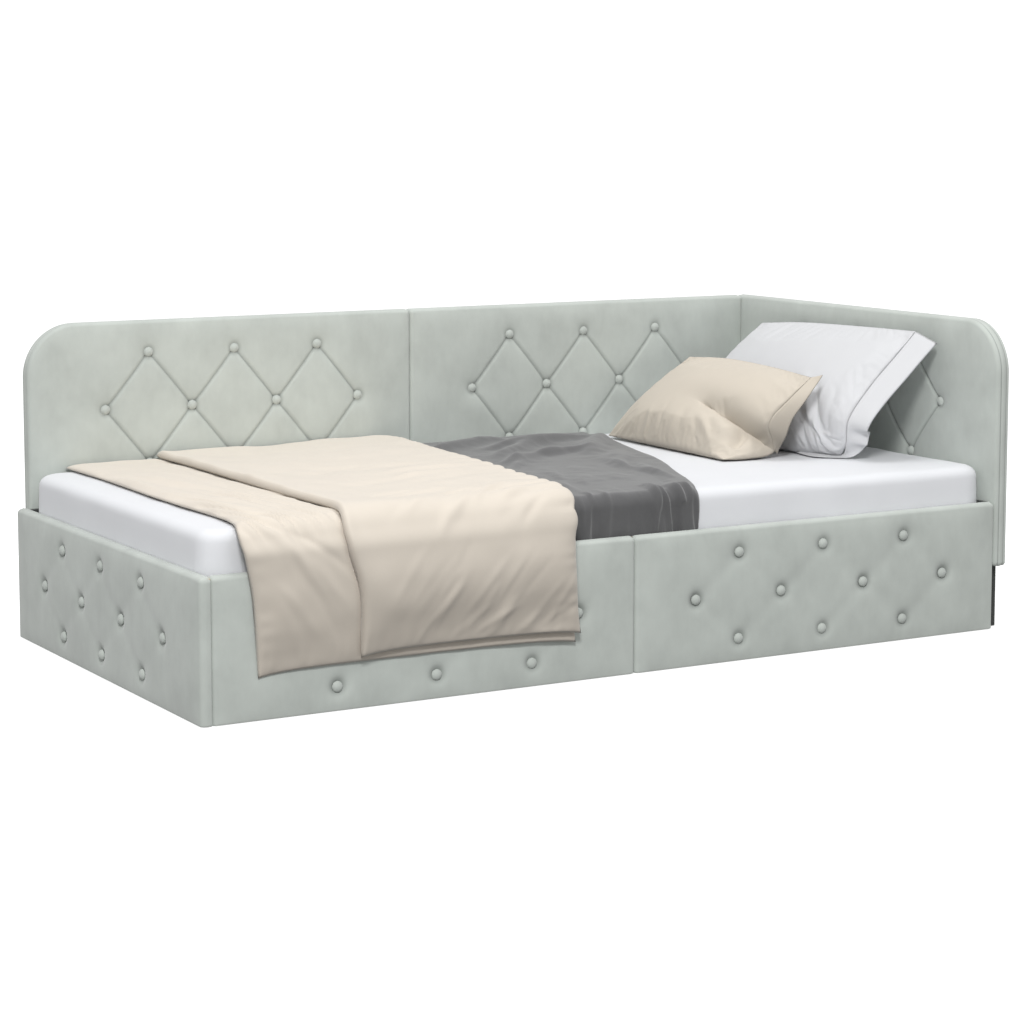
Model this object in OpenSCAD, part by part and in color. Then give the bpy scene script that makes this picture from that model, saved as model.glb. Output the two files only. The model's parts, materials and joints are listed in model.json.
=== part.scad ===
// Corner daybed: upholstered bed box, three tall tufted panels, slatted base,
// mattress and bedding. Millimetres, +X from foot to head, +Y to the wall, +Z up.
// The origin is on the floor, below the middle of the whole daybed.

/* [Bed box] */
// Length of the bed box, from the foot panel's face to the head rail's outer face
box_length = 2061; // [2058:1:2064]
// Width of the bed box, from the front rail's face to the back rail's outer face
box_width = 1059; // [1058:1:1061]
// Height of the low panels and rails
rail_height = 308; // [300:1:316]
// Board thickness in the foot panel and the front rails
low_board = 13; // [12:1:14]
// Foam and velvet thickness in the foot panel and the front rails
low_pad = 12; // [12:1:13]
// Board thickness of the plain back rails
back_board = 16; // [15:1:16]
// Board thickness of the plain head rail
head_board = 15; // [14:1:15]
// Where the two halves of the long sides meet
seam_x = 1040; // [1030:5:1050]
// Width of the foot panel, past the back rail
foot_width = 1084; // [1070:1:1090]

/* [Tall panels] */
// Height of the tall panels' top edge
tall_height = 741; // [700:1:760]
// Height of the tall panels' bottom edge
tall_bottom = 156; // [150:1:160]
// Radius of a tall panel's free top corner
corner_radius = 125; // [80:5:150]
// Board thickness in the tall panels
tall_board = 15; // [12:1:18]
// Foam and velvet thickness in the tall panels
tall_pad = 20; // [16:1:24]

/* [Tufting] */
// Distance between buttons in a row of a low panel
low_pitch = 234; // [220:1:240]
// Distance between button rows of a low panel
low_row = 99; // [90:1:105]
// Distance between buttons in a row of a tall panel
tall_pitch = 224; // [210:1:230]
// Distance between button rows of a tall panel
tall_row = 134; // [120:1:140]
// Radius of a covered button
button_radius = 12; // [10:0.5:13]

/* [Slatted base] */
// Number of slats
slat_count = 13; // [13]
// Width of a slat
slat_width = 70; // [50:5:90]
// Thickness of a slat
slat_thickness = 12; // [12]
// Height of the slats' top
slat_top = 200; // [200]

/* [Bedding] */
// Mattress length
mattress_length = 2000; // [1990:1:2000]
// Mattress width
mattress_width = 1000; // [990:1:1000]
// Height of the mattress's top
mattress_top = 394; // [380:1:394]
// Thickness of one layer of the folded duvet
duvet_layer = 15; // [12:1:16]
// Height of the hem of the duvet's lower layer
lower_hem = 92; // [80:1:100]
// Height of the hem of the duvet's upper layer
upper_hem = 114; // [104:1:130]

/* [Hidden] */
$fn = 48;
SLATS = [for (i = [1:slat_count]) str("slat_", i < 10 ? "0" : "", i)];

velvet = [0.71, 0.74, 0.71];
bare_board = [0.76, 0.62, 0.44];
dark_cloth = [0.16, 0.16, 0.17];
birch = [0.85, 0.73, 0.54];
steel = [0.62, 0.63, 0.65];
black = [0.10, 0.10, 0.11];

gap = 0.5;                          // Between panels that butt together
board_inset = 3;                    // A board stops this far inside its cover
glide_height = 3;                   // Rails stand this far off the floor
low_wall = low_board + low_pad;
tall_wall = tall_board + tall_pad;
tall_face_x = box_length + gap;     // Tufted face of the head panel
tall_face_y = box_width + gap;      // Tufted face of the back panels
total_length = tall_face_x + tall_wall;
total_depth = tall_face_y + tall_wall;
inner_x = box_length - head_board;  // Inner face of the head rail
inner_y = box_width - back_board;   // Inner face of the back rails

// ---- Tufting -----------------------------------------------------------

dimple_sphere = 40;
dimple_depth = 9;
button_sink = 7;                    // From the panel's face to the button's flat back
button_dome = 6;
button_shank = 2;
shank_hole = button_shank + 0.1;

// Ten buttons in rows of three, four and three
function diamonds(middle, centre_height, pitch, row) = concat(
    [for (i = [-1:1]) [middle + i * pitch, centre_height + row]],
    [for (i = [-1.5:1.5]) [middle + i * pitch, centre_height]],
    [for (i = [-1:1]) [middle + i * pitch, centre_height - row]]);

low_centre = 152;
tall_centre = 532;
foot_buttons = diamonds(549, low_centre, low_pitch, low_row);
front_left_buttons = diamonds(541, low_centre, low_pitch, low_row);
front_right_buttons = diamonds(1552, low_centre, low_pitch, low_row);
back_left_buttons = diamonds(554, tall_centre, tall_pitch, tall_row);
back_right_buttons = diamonds(1554, tall_centre, tall_pitch, tall_row);
head_buttons = diamonds(549, tall_centre, tall_pitch, tall_row);

// ---- Bolts that hold the tall panels -----------------------------------

bolt_heights = [220, 280];
spacer_radius = 8;
panel_bolt_radius = 4;
recess_depth = 5;
recess_radius = 8;
hole_play = 0.1;

function bolt_places(columns) = [for (u = columns, v = bolt_heights) [u, v]];
back_left_bolts = bolt_places([150, 910]);
back_right_bolts = bolt_places([1170, 1930]);
head_bolts = bolt_places([150, 945]);

// ---- Panels, drawn in (u, w, v): u along the face, w inwards from it ----

// Swaps X and Y, so that a panel's face looks along -X instead of -Y
module facing_x() { mirror([1, -1, 0]) children(); }

module plate(thickness) {
    translate([0, thickness, 0]) rotate([90, 0, 0]) linear_extrude(thickness) children();
}

// An upright outline from [u0, v0] to [u1, v1] whose first top corner has the radius
module outline(low, high, radius) {
    difference() {
        translate(low) square(high - low);
        if (radius > 0) translate([low[0] - 1, high[1] - radius])
            square([radius + 1, radius + 1]);
    }
    if (radius > 0) translate([low[0] + radius, high[1] - radius]) circle(radius);
}

module through(place, radius, from, to) {
    translate([place[0], from, place[1]]) rotate([-90, 0, 0]) cylinder(r = radius, h = to - from);
}

module upholstery(low, high, thickness, buttons, radius = 0, spacers = []) {
    color(velvet) difference() {
        plate(thickness) outline(low, high, radius);
        for (b = buttons) {
            translate([b[0], dimple_depth - dimple_sphere, b[1]]) sphere(dimple_sphere);
            through(b, shank_hole, dimple_depth - 1, thickness + 1);
        }
        for (s = spacers) through(s, spacer_radius + hole_play, -1, thickness + 1);
    }
}

module covered_buttons(buttons, thickness) {
    dome = (pow(button_radius, 2) + pow(button_dome, 2)) / (2 * button_dome);
    color(velvet) for (b = buttons) {
        intersection() {
            translate([b[0], button_sink - button_dome + dome, b[1]]) sphere(dome);
            through(b, button_radius + 1, 0, button_sink);
        }
        through(b, button_shank, button_sink - 0.5, thickness);
    }
}

module tall_panel_board(low, high, radius, bolts) {
    color(dark_cloth) difference() {
        translate([0, tall_pad, 0]) plate(tall_board)
            outline(low + [board_inset, board_inset], high - [board_inset, board_inset],
                    max(radius - board_inset, 0));
        for (b = bolts) {
            through(b, panel_bolt_radius + hole_play, tall_pad - 1, tall_wall + 1);
            through(b, recess_radius, tall_wall - recess_depth, tall_wall + 1);
        }
    }
}

module spacers_of(bolts) {
    color(steel) for (b = bolts) difference() {
        through(b, spacer_radius, 0, tall_pad);
        through(b, panel_bolt_radius + hole_play, -1, tall_pad + 1);
    }
}

// From the recess in the tall board to just short of the rail's inner face
module bolts_of(bolts, rail_board) {
    color(steel) for (b = bolts) {
        through(b, panel_bolt_radius, 1 - rail_board - gap, tall_wall - recess_depth);
        through(b, recess_radius - 1, tall_wall - recess_depth, tall_wall - 1);
    }
}

module bolt_holes_in_rail(bolts, rail_board) {
    for (b = bolts) through(b, panel_bolt_radius + hole_play, -rail_board - gap - 1, 1);
}

back_left_low = [low_wall + gap, tall_bottom];
back_left_high = [seam_x - gap / 2, tall_height];
back_right_low = [seam_x + gap / 2, tall_bottom];
back_right_high = [box_length, tall_height];
head_low = [0, tall_bottom];
head_high = [total_depth, tall_height];

module at_back() { translate([0, tall_face_y, 0]) children(); }
module at_head() { translate([tall_face_x, 0, 0]) facing_x() children(); }

// ---- Steel fittings -----------------------------------------------------

fitting = 3;                        // Thickness of all steel sheet
screw_radius = 3;
screw_head = 6;
head_height = 4;
screw_depth = 10;                   // Into a board
bracket_flange = 50;
bracket_low = 40;
bracket_high = 150;
bracket_bolts = [[32, 65], [32, 125]];

inner_corners = [
    [[low_wall, low_wall], [1, 1]], [[inner_x, low_wall], [-1, 1]],
    [[low_wall, inner_y], [1, -1]], [[inner_x, inner_y], [-1, -1]]];

// Puts a shape drawn in the front left corner into each inner corner of the box
module in_each_corner() {
    for (c = inner_corners) translate([c[0][0], c[0][1], 0])
        mirror([c[1][0] < 0 ? 1 : 0, 0, 0]) mirror([0, c[1][1] < 0 ? 1 : 0, 0]) children();
}

// Screws along -Y, with their heads standing on a fitting at y = 0
module screw(place) {
    through(place, screw_radius, -screw_depth, fitting);
    through(place, screw_head, fitting, fitting + head_height);
}

module screw_hole(place) { through(place, screw_radius + hole_play, -screw_depth - 1, fitting + 1); }

module corner_fixings(hole = false) {
    in_each_corner() for (b = bracket_bolts) {
        if (hole) { screw_hole(b); facing_x() screw_hole(b); }
        else { screw(b); facing_x() screw(b); }
    }
}

module corner_brackets() {
    color(steel) difference() {
        in_each_corner() translate([0, 0, bracket_low]) linear_extrude(bracket_high - bracket_low)
            union() { square([bracket_flange, fitting]); square([fitting, bracket_flange]); }
        corner_fixings(hole = true);
    }
}

seam_plate_length = 160;
seam_plate_low = 60;
seam_plate_high = 130;
seam_fixings = [for (u = [-40, 40], v = [75, 115]) [seam_x + u, v]];

module at_each_seam() {
    translate([0, low_wall, 0]) children();
    translate([0, inner_y, 0]) mirror([0, 1, 0]) children();
}

module seam_holes() { at_each_seam() for (p = seam_fixings) screw_hole(p); }

module seam_plates() {
    color(steel) difference() {
        at_each_seam() translate([seam_x - seam_plate_length / 2, 0, seam_plate_low])
            cube([seam_plate_length, fitting, seam_plate_high - seam_plate_low]);
        seam_holes();
    }
}

// ---- Slatted base -------------------------------------------------------

ledge = 25;
ledge_top = slat_top - slat_thickness;
slat_play = 1.5;
slat_first = low_wall + 95;
slat_last = inner_x - 95;
slat_pitch = (slat_last - slat_first) / (slat_count - 1);
strap_thickness = 0.8;
strap_width = 20;
strap_rows = [180, 535, 890];
beam_middle = (low_wall + inner_y) / 2 + 1;
beam_width = 40;
beam_bottom = 138;
leg_width = 40;
leg_glide = 4;
leg_places = [535, seam_x, 1545];
joint_bolt_places = [seam_x - 40, seam_x + 40];
joint_plate_length = 140;

module slat(number) {
    color(birch) translate([slat_first + (number - 1) * slat_pitch - slat_width / 2,
                            low_wall + slat_play, ledge_top])
        cube([slat_width, inner_y - low_wall - 2 * slat_play, slat_thickness]);
}

module slat_straps() {
    color(black) for (y = strap_rows) translate([slat_first - 60, y - strap_width / 2, slat_top])
        cube([slat_last - slat_first + 120, strap_width, strap_thickness]);
}

module slat_ledge(from, to, y) {
    color(birch) translate([from, y, ledge_top - ledge]) cube([to - from, ledge, ledge]);
}

module beam_bolt_holes(play = hole_play) {
    for (x = joint_bolt_places) translate([0, beam_middle, 0])
        through([x, (beam_bottom + ledge_top) / 2], screw_radius + play,
                -beam_width, beam_width);
}

module centre_beam(from, to) {
    color(birch) difference() {
        translate([from, beam_middle - beam_width / 2, beam_bottom])
            cube([to - from, beam_width, ledge_top - beam_bottom]);
        beam_bolt_holes();
    }
}

module beam_joint_plates() {
    color(steel) difference() {
        for (side = [-1, 1])
            translate([seam_x - joint_plate_length / 2,
                       beam_middle + side * (beam_width + fitting) / 2 - fitting / 2,
                       beam_bottom + 8])
                cube([joint_plate_length, fitting, ledge_top - beam_bottom - 16]);
        beam_bolt_holes();
    }
}

module beam_bolts() {
    reach = beam_width / 2 + fitting;
    for (x = joint_bolt_places) translate([0, beam_middle, 0]) {
        place = [x, (beam_bottom + ledge_top) / 2];
        through(place, screw_radius, -reach, reach);
        through(place, screw_head, -reach - head_height, -reach);
        through(place, screw_head, reach, reach + head_height);
    }
}

module seam_bolts() {
    color(steel) {
        at_each_seam() for (p = seam_fixings) screw(p);
        beam_bolts();
    }
}

hanger_drop = 34;
hanger_reach = 30;
hanger_screws_at = [-16, 16];

// A hanger on the foot panel's inner face, and its mirror image on the head rail
module at_each_beam_end() {
    translate([low_wall, beam_middle, 0]) children();
    translate([inner_x, beam_middle, 0]) mirror([1, 0, 0]) children();
}

module hanger_fixings(hole = false) {
    at_each_beam_end() facing_x() for (u = hanger_screws_at) {
        place = [u, beam_bottom - hanger_drop / 2 - fitting];
        if (hole) screw_hole(place);
        else screw(place);
    }
}

module beam_hangers() {
    half = beam_width / 2 + gap;
    color(steel) difference() {
        at_each_beam_end() {
            translate([0, -half - fitting, beam_bottom - fitting - hanger_drop])
                cube([fitting, 2 * (half + fitting), hanger_drop + 40]);
            translate([0, -half - fitting, beam_bottom - fitting])
                cube([hanger_reach, 2 * (half + fitting), fitting]);
            for (side = [-1, 1]) translate([0, side * (half + fitting / 2) - fitting / 2, beam_bottom - fitting])
                cube([hanger_reach, fitting, 40]);
        }
        hanger_fixings(hole = true);
    }
}

module centre_legs() {
    color(birch) for (x = leg_places)
        translate([x - leg_width / 2, beam_middle - leg_width / 2, leg_glide])
            cube([leg_width, leg_width, beam_bottom - leg_glide]);
}

module centre_leg_glides() {
    color(black) for (x = leg_places) translate([x, beam_middle, 0]) cylinder(r = 16, h = leg_glide);
}

// ---- Boards and rails ---------------------------------------------------

module low_panel_board(low, high) {
    translate([0, low_pad, 0]) plate(low_board) outline(low, high, 0);
}

module rail_holes() {
    corner_fixings(hole = true);
    seam_holes();
    hanger_fixings(hole = true);
    at_back() bolt_holes_in_rail(concat(back_left_bolts, back_right_bolts), back_board);
    at_head() bolt_holes_in_rail(head_bolts, head_board);
}

module foot_panel_board() {
    color(bare_board) difference() {
        facing_x() low_panel_board([board_inset, glide_height],
                                   [foot_width - board_inset, rail_height - board_inset]);
        rail_holes();
    }
}

module front_rail_board(from, to) {
    color(bare_board) difference() {
        low_panel_board([from + board_inset, glide_height], [to - board_inset, rail_height - board_inset]);
        rail_holes();
    }
}

module back_rail(from, to) {
    color(dark_cloth) difference() {
        translate([from, inner_y, glide_height])
            cube([to - from, back_board, rail_height - glide_height]);
        rail_holes();
    }
}

module head_rail() {
    color(dark_cloth) difference() {
        translate([inner_x, low_wall + gap, glide_height])
            cube([head_board, box_width - low_wall - gap, rail_height - glide_height]);
        rail_holes();
    }
}

glide_radius = 6;
long_glides = [120, 900, 1180, 1960];

module floor_glides() {
    color(black) {
        for (x = long_glides, y = [low_wall - low_board / 2, inner_y + back_board / 2])
            translate([x, y, 0]) cylinder(r = glide_radius, h = glide_height);
        for (y = [70, 540, 1010], x = [low_wall - low_board / 2, inner_x + head_board / 2])
            translate([x, y, 0]) cylinder(r = glide_radius, h = glide_height);
    }
}

panel_leg_width = 60;
panel_leg_setback = 35;

module panel_legs() {
    height = tall_bottom - gap;
    color(dark_cloth) {
        for (x = [95, 880, 1140, 1900]) translate([x, tall_face_y, 0])
            cube([panel_leg_width, tall_wall, height]);
        for (y = [panel_leg_setback, 950]) translate([tall_face_x, y, 0])
            cube([tall_wall, panel_leg_width, height]);
    }
}

// ---- Bedding ------------------------------------------------------------

mattress_x = 43;
mattress_y = 40;
mattress_bottom = slat_top + 1.5;
mattress_edge = 25;                 // Radius of every mattress edge
sheet_gap = 0.4;
sheet_thickness = 0.9;
sheet_out = sheet_gap + sheet_thickness;
sheet_top = mattress_top + sheet_out;

// The mattress's rounded box, grown by a margin on every side but the bottom
module mattress_shape(margin, bottom) {
    r = mattress_edge + margin;
    low = [mattress_x, mattress_y] + [mattress_edge, mattress_edge];
    high = [mattress_x + mattress_length, mattress_y + mattress_width]
        - [mattress_edge, mattress_edge];
    hull() for (x = [low[0], high[0]], y = [low[1], high[1]]) translate([x, y, 0]) {
        translate([0, 0, mattress_top - mattress_edge]) sphere(r, $fn = 32);
        translate([0, 0, bottom]) cylinder(r = r, h = 1, $fn = 32);
    }
}

module mattress() { color("white") mattress_shape(0, mattress_bottom); }

module fitted_sheet() {
    color([0.90, 0.91, 0.93]) difference() {
        mattress_shape(sheet_out, mattress_bottom + 1);
        mattress_shape(sheet_gap, mattress_bottom - 2);
    }
}

// A blanket's section in Y and Z: flat on the bed from its back edge, over a bend
// and down the front. The bend's centre and the inner radius set where it hangs.
module blanket_section(back, centre, inner, thickness, hem) {
    outer = inner + thickness;
    translate([centre[0], centre[1] + inner]) square([back - centre[0], thickness]);
    translate([centre[0] - outer, hem]) square([thickness, centre[1] - hem]);
    intersection() {
        translate(centre) difference() { circle(outer); circle(inner); }
        translate([centre[0] - outer, centre[1]]) square([outer, outer]);
    }
}

module blanket(section_from, section_to, plan) {
    intersection() {
        translate([section_from, 0, 0]) rotate([90, 0, 90])
            linear_extrude(section_to - section_from) children();
        linear_extrude(tall_height) polygon(plan);
    }
}

bedding_back = 1054;                // Back edge of the bedding, just clear of the tall panels
throw_thickness = 5;
throw_bend = [mattress_y + mattress_edge, mattress_top - mattress_edge];
throw_inner = mattress_edge + sheet_out + 0.4;
throw_hem = 232;
throw_left = 760;
throw_front_right = 1234;
throw_back_right = 1552;

module throw_blanket() {
    color([0.33, 0.33, 0.34]) blanket(throw_left, throw_back_right + 10, [
            [throw_left, 0], [throw_front_right, 0], [throw_front_right, mattress_y],
            [throw_back_right, bedding_back], [throw_left, bedding_back]])
        blanket_section(mattress_y + mattress_width, throw_bend, throw_inner, throw_thickness, throw_hem);
}

duvet_bottom = throw_bend[1] + throw_inner + throw_thickness + 1.4;
duvet_inner = 24;                   // Inner radius of the bend over the front rail
duvet_bend = [20, duvet_bottom - duvet_inner];
duvet_out = duvet_inner + 2 * duvet_layer - duvet_bend[0];  // Stands this far in front of the rail
lower_left = 92;
upper_left = 342;
duvet_front_right = 872;
duvet_back_right = 984;
duvet_back = 1056;

module duvet_layer_section(inner, hem) {
    blanket_section(duvet_back, duvet_bend, inner, duvet_layer, hem);
}

module duvet() {
    color([0.87, 0.83, 0.76]) union() {
        blanket(lower_left, duvet_back_right, [
            [lower_left, -duvet_out - 1], [duvet_front_right, -duvet_out - 1],
            [duvet_back_right, duvet_back], [lower_left, duvet_back]])
            duvet_layer_section(duvet_inner, lower_hem);
        blanket(upper_left, duvet_back_right, [
            [upper_left, -duvet_out - 1], [duvet_front_right, -duvet_out - 1],
            [duvet_back_right, duvet_back], [upper_left, duvet_back]])
            duvet_layer_section(duvet_inner + duvet_layer, upper_hem);
    }
}

pillow_edge = 12;

// A stuffed pillow that leans from its low edge to its high one, each at [x, z]. It is
// thin at its edges and full in the middle.
module stuffed(low, high, from_y, to_y, thickness) {
    width = norm(high - low);
    length = to_y - from_y;
    x = width / 2;
    y = length / 2 - pillow_edge;
    translate([(low[0] + high[0]) / 2, (from_y + to_y) / 2, (low[1] + high[1]) / 2])
        rotate([0, -atan2(high[1] - low[1], high[0] - low[0]), 0]) hull() {
            for (sx = [-x, x], sy = [-y, y]) translate([sx, sy, 0]) sphere(pillow_edge, $fn = 16);
            scale([0.38 * width, 0.36 * length, thickness / 2]) sphere(1, $fn = 32);
        }
}

pillow_rest = sheet_top + 0.6 + pillow_edge;    // Height of a pillow's low edge

module pillow() {
    color("white") stuffed([1790, pillow_rest], [2026, 686], 200, 930, thickness = 180);
}

module cushion() {
    color([0.82, 0.76, 0.68]) stuffed([1554, pillow_rest], [1796, 586], 302, 916, thickness = 140);
}

// ---- Assembly -----------------------------------------------------------

// Moves everything so that the origin is below the middle of the whole daybed
module placed() { translate([-total_length / 2, (duvet_out - total_depth) / 2, 0]) children(); }

module low_cover(low, high, buttons) { upholstery(low, high, low_pad, buttons); }

placed() {
    foot_panel_board();
    facing_x() low_cover([0, glide_height], [foot_width, rail_height], foot_buttons);  // foot_panel_upholstery
    facing_x() covered_buttons(foot_buttons, low_pad);  // foot_panel_buttons
    front_rail_board(low_wall + gap, seam_x - gap / 2);  // front_rail_left_board
    low_cover([low_wall + gap, glide_height], [seam_x - gap / 2, rail_height], front_left_buttons);  // front_rail_left_upholstery
    covered_buttons(front_left_buttons, low_pad);  // front_rail_left_buttons
    front_rail_board(seam_x + gap / 2, box_length);  // front_rail_right_board
    low_cover([seam_x + gap / 2, glide_height], [box_length, rail_height], front_right_buttons);  // front_rail_right_upholstery
    covered_buttons(front_right_buttons, low_pad);  // front_rail_right_buttons
    back_rail(low_wall + gap, seam_x - gap / 2);  // back_rail_left
    back_rail(seam_x + gap / 2, inner_x - gap);  // back_rail_right
    head_rail();
    at_back() tall_panel_board(back_left_low, back_left_high, corner_radius, back_left_bolts);  // back_panel_left_board
    at_back() upholstery(back_left_low, back_left_high, tall_pad, back_left_buttons,  // back_panel_left_upholstery
                             corner_radius, back_left_bolts);
    at_back() covered_buttons(back_left_buttons, tall_pad);  // back_panel_left_buttons
    at_back() tall_panel_board(back_right_low, back_right_high, 0, back_right_bolts);  // back_panel_right_board
    at_back() upholstery(back_right_low, back_right_high, tall_pad, back_right_buttons,  // back_panel_right_upholstery
                             0, back_right_bolts);
    at_back() covered_buttons(back_right_buttons, tall_pad);  // back_panel_right_buttons
    at_head() tall_panel_board(head_low, head_high, corner_radius, head_bolts);  // head_panel_board
    at_head() upholstery(head_low, head_high, tall_pad, head_buttons, corner_radius, head_bolts);  // head_panel_upholstery
    at_head() covered_buttons(head_buttons, tall_pad);  // head_panel_buttons
    panel_legs();
    union() {  // panel_spacers
        at_back() spacers_of(concat(back_left_bolts, back_right_bolts));
        at_head() spacers_of(head_bolts);
    }
    union() {  // panel_bolts
        at_back() bolts_of(concat(back_left_bolts, back_right_bolts), back_board);
        at_head() bolts_of(head_bolts, head_board);
    }
    corner_brackets();
    color(steel) corner_fixings();  // corner_bolts
    seam_plates();
    seam_bolts();
    slat_ledge(low_wall + 1, seam_x - 1, low_wall);  // slat_ledge_front_left
    slat_ledge(seam_x + 1, inner_x - 1, low_wall);  // slat_ledge_front_right
    slat_ledge(low_wall + 1, seam_x - 1, inner_y - ledge);  // slat_ledge_back_left
    slat_ledge(seam_x + 1, inner_x - 1, inner_y - ledge);  // slat_ledge_back_right
    centre_beam(low_wall + fitting + gap, seam_x - gap / 2);  // centre_beam_left
    centre_beam(seam_x + gap / 2, inner_x - fitting - gap);  // centre_beam_right
    beam_joint_plates();
    beam_hangers();
    color(steel) hanger_fixings();  // hanger_screws
    centre_legs();
    centre_leg_glides();
    floor_glides();
    slat_straps();
    mattress();
    fitted_sheet();
    throw_blanket();
    duvet();
    pillow();
    cushion();
    for (i = [1:slat_count]) slat(i);
}
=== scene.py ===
"""The looks of the corner daybed: velvet tufted panels, slatted base, mattress and bedding."""
import json
import math

import bmesh
import bpy
import numpy as np
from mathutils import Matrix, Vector, noise


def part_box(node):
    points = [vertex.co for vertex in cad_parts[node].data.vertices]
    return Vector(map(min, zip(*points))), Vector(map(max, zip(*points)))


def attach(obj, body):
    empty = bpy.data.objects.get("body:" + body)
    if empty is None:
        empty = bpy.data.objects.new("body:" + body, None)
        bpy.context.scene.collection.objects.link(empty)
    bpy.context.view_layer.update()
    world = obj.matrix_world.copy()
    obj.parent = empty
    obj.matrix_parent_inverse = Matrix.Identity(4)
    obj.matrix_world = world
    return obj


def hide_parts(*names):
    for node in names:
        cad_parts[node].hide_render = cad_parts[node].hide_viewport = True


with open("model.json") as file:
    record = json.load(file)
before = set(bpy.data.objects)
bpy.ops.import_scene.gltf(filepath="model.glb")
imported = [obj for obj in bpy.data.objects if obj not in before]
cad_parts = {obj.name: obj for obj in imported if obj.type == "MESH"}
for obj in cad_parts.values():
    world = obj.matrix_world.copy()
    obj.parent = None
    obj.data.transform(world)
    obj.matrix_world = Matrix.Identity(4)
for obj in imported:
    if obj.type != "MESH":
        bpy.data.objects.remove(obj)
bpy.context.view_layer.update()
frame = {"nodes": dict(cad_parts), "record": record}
scene = bpy.context.scene
MM = 0.001

# ---- Places, from the frame ----------------------------------------------------------

foot_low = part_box("foot_panel_upholstery")[0]
rail_low, rail_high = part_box("front_rail_left_upholstery")
sheet_low, sheet_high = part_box("fitted_sheet")
mattress_low, mattress_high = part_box("mattress")
throw_low, throw_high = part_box("throw_blanket")
duvet_low, duvet_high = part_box("duvet")
FOOT_X = foot_low.x                 # Outer face of the foot panel
FRONT_Y = rail_low.y                # Outer face of the front rails
SHEET_TOP = sheet_high.z
SHEET_GAP = 0.8 * MM                # Air between the sheet and what lies on it or in it
CLOTH_STEP = 6 * MM     # Grid step of the duvet and the throw


# ---- Small helpers -------------------------------------------------------------------

def smooth(low, high, value):
    """0 below low, 1 above high, and a smooth step between."""
    t = np.clip((np.asarray(value, float) - low) / (high - low), 0, 1)
    return t * t * (3 - 2 * t)


def noise_at(points, size, seed=0.0):
    """Gradient noise, about -0.5 to 0.5, of features of that size (one number or one per axis)."""
    scaled = np.asarray(points, float) / np.asarray(size, float) + seed
    return np.array([noise.noise(p) for p in scaled.reshape(-1, 3)])


def noise_over(a, b, size, seed=0.0, level=0.0):
    """The same noise for a grid of (a, b), on one level."""
    spots = np.stack([a.ravel(), b.ravel(), np.full(a.size, level)], 1)
    return noise_at(spots, size, seed).reshape(a.shape)


def new_piece(name, points, faces, body, slot):
    """A smooth-shaded mesh that rides on a body, in its slot's fabric."""
    mesh = bpy.data.meshes.new(name)
    mesh.from_pydata([tuple(p) for p in points], [], [tuple(f) for f in faces])
    mesh.update()
    work = bmesh.new()
    work.from_mesh(mesh)
    bmesh.ops.recalc_face_normals(work, faces=work.faces)
    work.to_mesh(mesh)
    work.free()
    mesh.shade_smooth()
    piece = bpy.data.objects.new(name, mesh)
    scene.collection.objects.link(piece)
    piece.data.materials.append(FABRICS[slot])
    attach(piece, body)
    return piece


def coordinates(mesh):
    """The places of a mesh's points, one row each."""
    values = np.zeros(len(mesh.vertices) * 3)
    mesh.vertices.foreach_get("co", values)
    return values.reshape(-1, 3)


def set_coordinates(mesh, points):
    """Moves a mesh's points to these places."""
    mesh.vertices.foreach_set("co", np.asarray(points, float).ravel())
    mesh.update()


def normals(mesh):
    """The way each point of a mesh faces, one row each."""
    values = np.zeros(len(mesh.vertices) * 3)
    mesh.vertices.foreach_get("normal", values)
    return values.reshape(-1, 3)


def grid_faces(rows, columns, first=0, flip=False):
    """Quads of a grid whose points are stored row by row."""
    i, j = np.meshgrid(np.arange(rows - 1), np.arange(columns - 1), indexing="ij")
    a = first + (i * columns + j).ravel()
    quads = np.stack([a, a + 1, a + columns + 1, a + columns], axis=1)
    return quads[:, ::-1] if flip else quads


# ---- Materials -----------------------------------------------------------------------

def new_material(name, roughness, sheen=0.0, metallic=0.0):
    """A material, its nodes, and its shader, with the numbers that hold all over it."""
    material = bpy.data.materials.new(name)
    material.use_nodes = True
    nodes = material.node_tree.nodes
    shader = nodes["Principled BSDF"]
    shader.inputs["Roughness"].default_value = roughness
    shader.inputs["Metallic"].default_value = metallic
    shader.inputs["Sheen Weight"].default_value = sheen
    shader.inputs["Sheen Roughness"].default_value = 0.5
    shader.inputs["Specular IOR Level"].default_value = 0.5 if metallic else 0.25
    return material, nodes, shader


def link(material, source, target):
    """Joins two sockets of a material."""
    material.node_tree.links.new(source, target)


def object_place(material, scale=(1, 1, 1), turn=(0, 0, 0)):
    """Object coordinates, turned and scaled."""
    nodes = material.node_tree.nodes
    mapping = nodes.new("ShaderNodeMapping")
    mapping.inputs["Scale"].default_value = scale
    mapping.inputs["Rotation"].default_value = turn
    link(material, nodes.new("ShaderNodeTexCoord").outputs["Object"], mapping.inputs["Vector"])
    return mapping.outputs["Vector"]


def noise_node(material, place, scale, detail=3.0, roughness=0.5):
    """Noise with that many features to a metre."""
    node = material.node_tree.nodes.new("ShaderNodeTexNoise")
    node.inputs["Scale"].default_value = scale
    node.inputs["Detail"].default_value = detail
    node.inputs["Roughness"].default_value = roughness
    link(material, place, node.inputs["Vector"])
    return node.outputs["Fac"]


def ramp(material, value, stops):
    """A colour ramp of (position, colour) stops."""
    node = material.node_tree.nodes.new("ShaderNodeValToRGB")
    while len(node.color_ramp.elements) < len(stops):
        node.color_ramp.elements.new(0.5)
    for element, (position, colour) in zip(node.color_ramp.elements, stops):
        element.position = position
        element.color = (*colour, 1)
    link(material, value, node.inputs["Fac"])
    return node.outputs["Color"]


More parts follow.
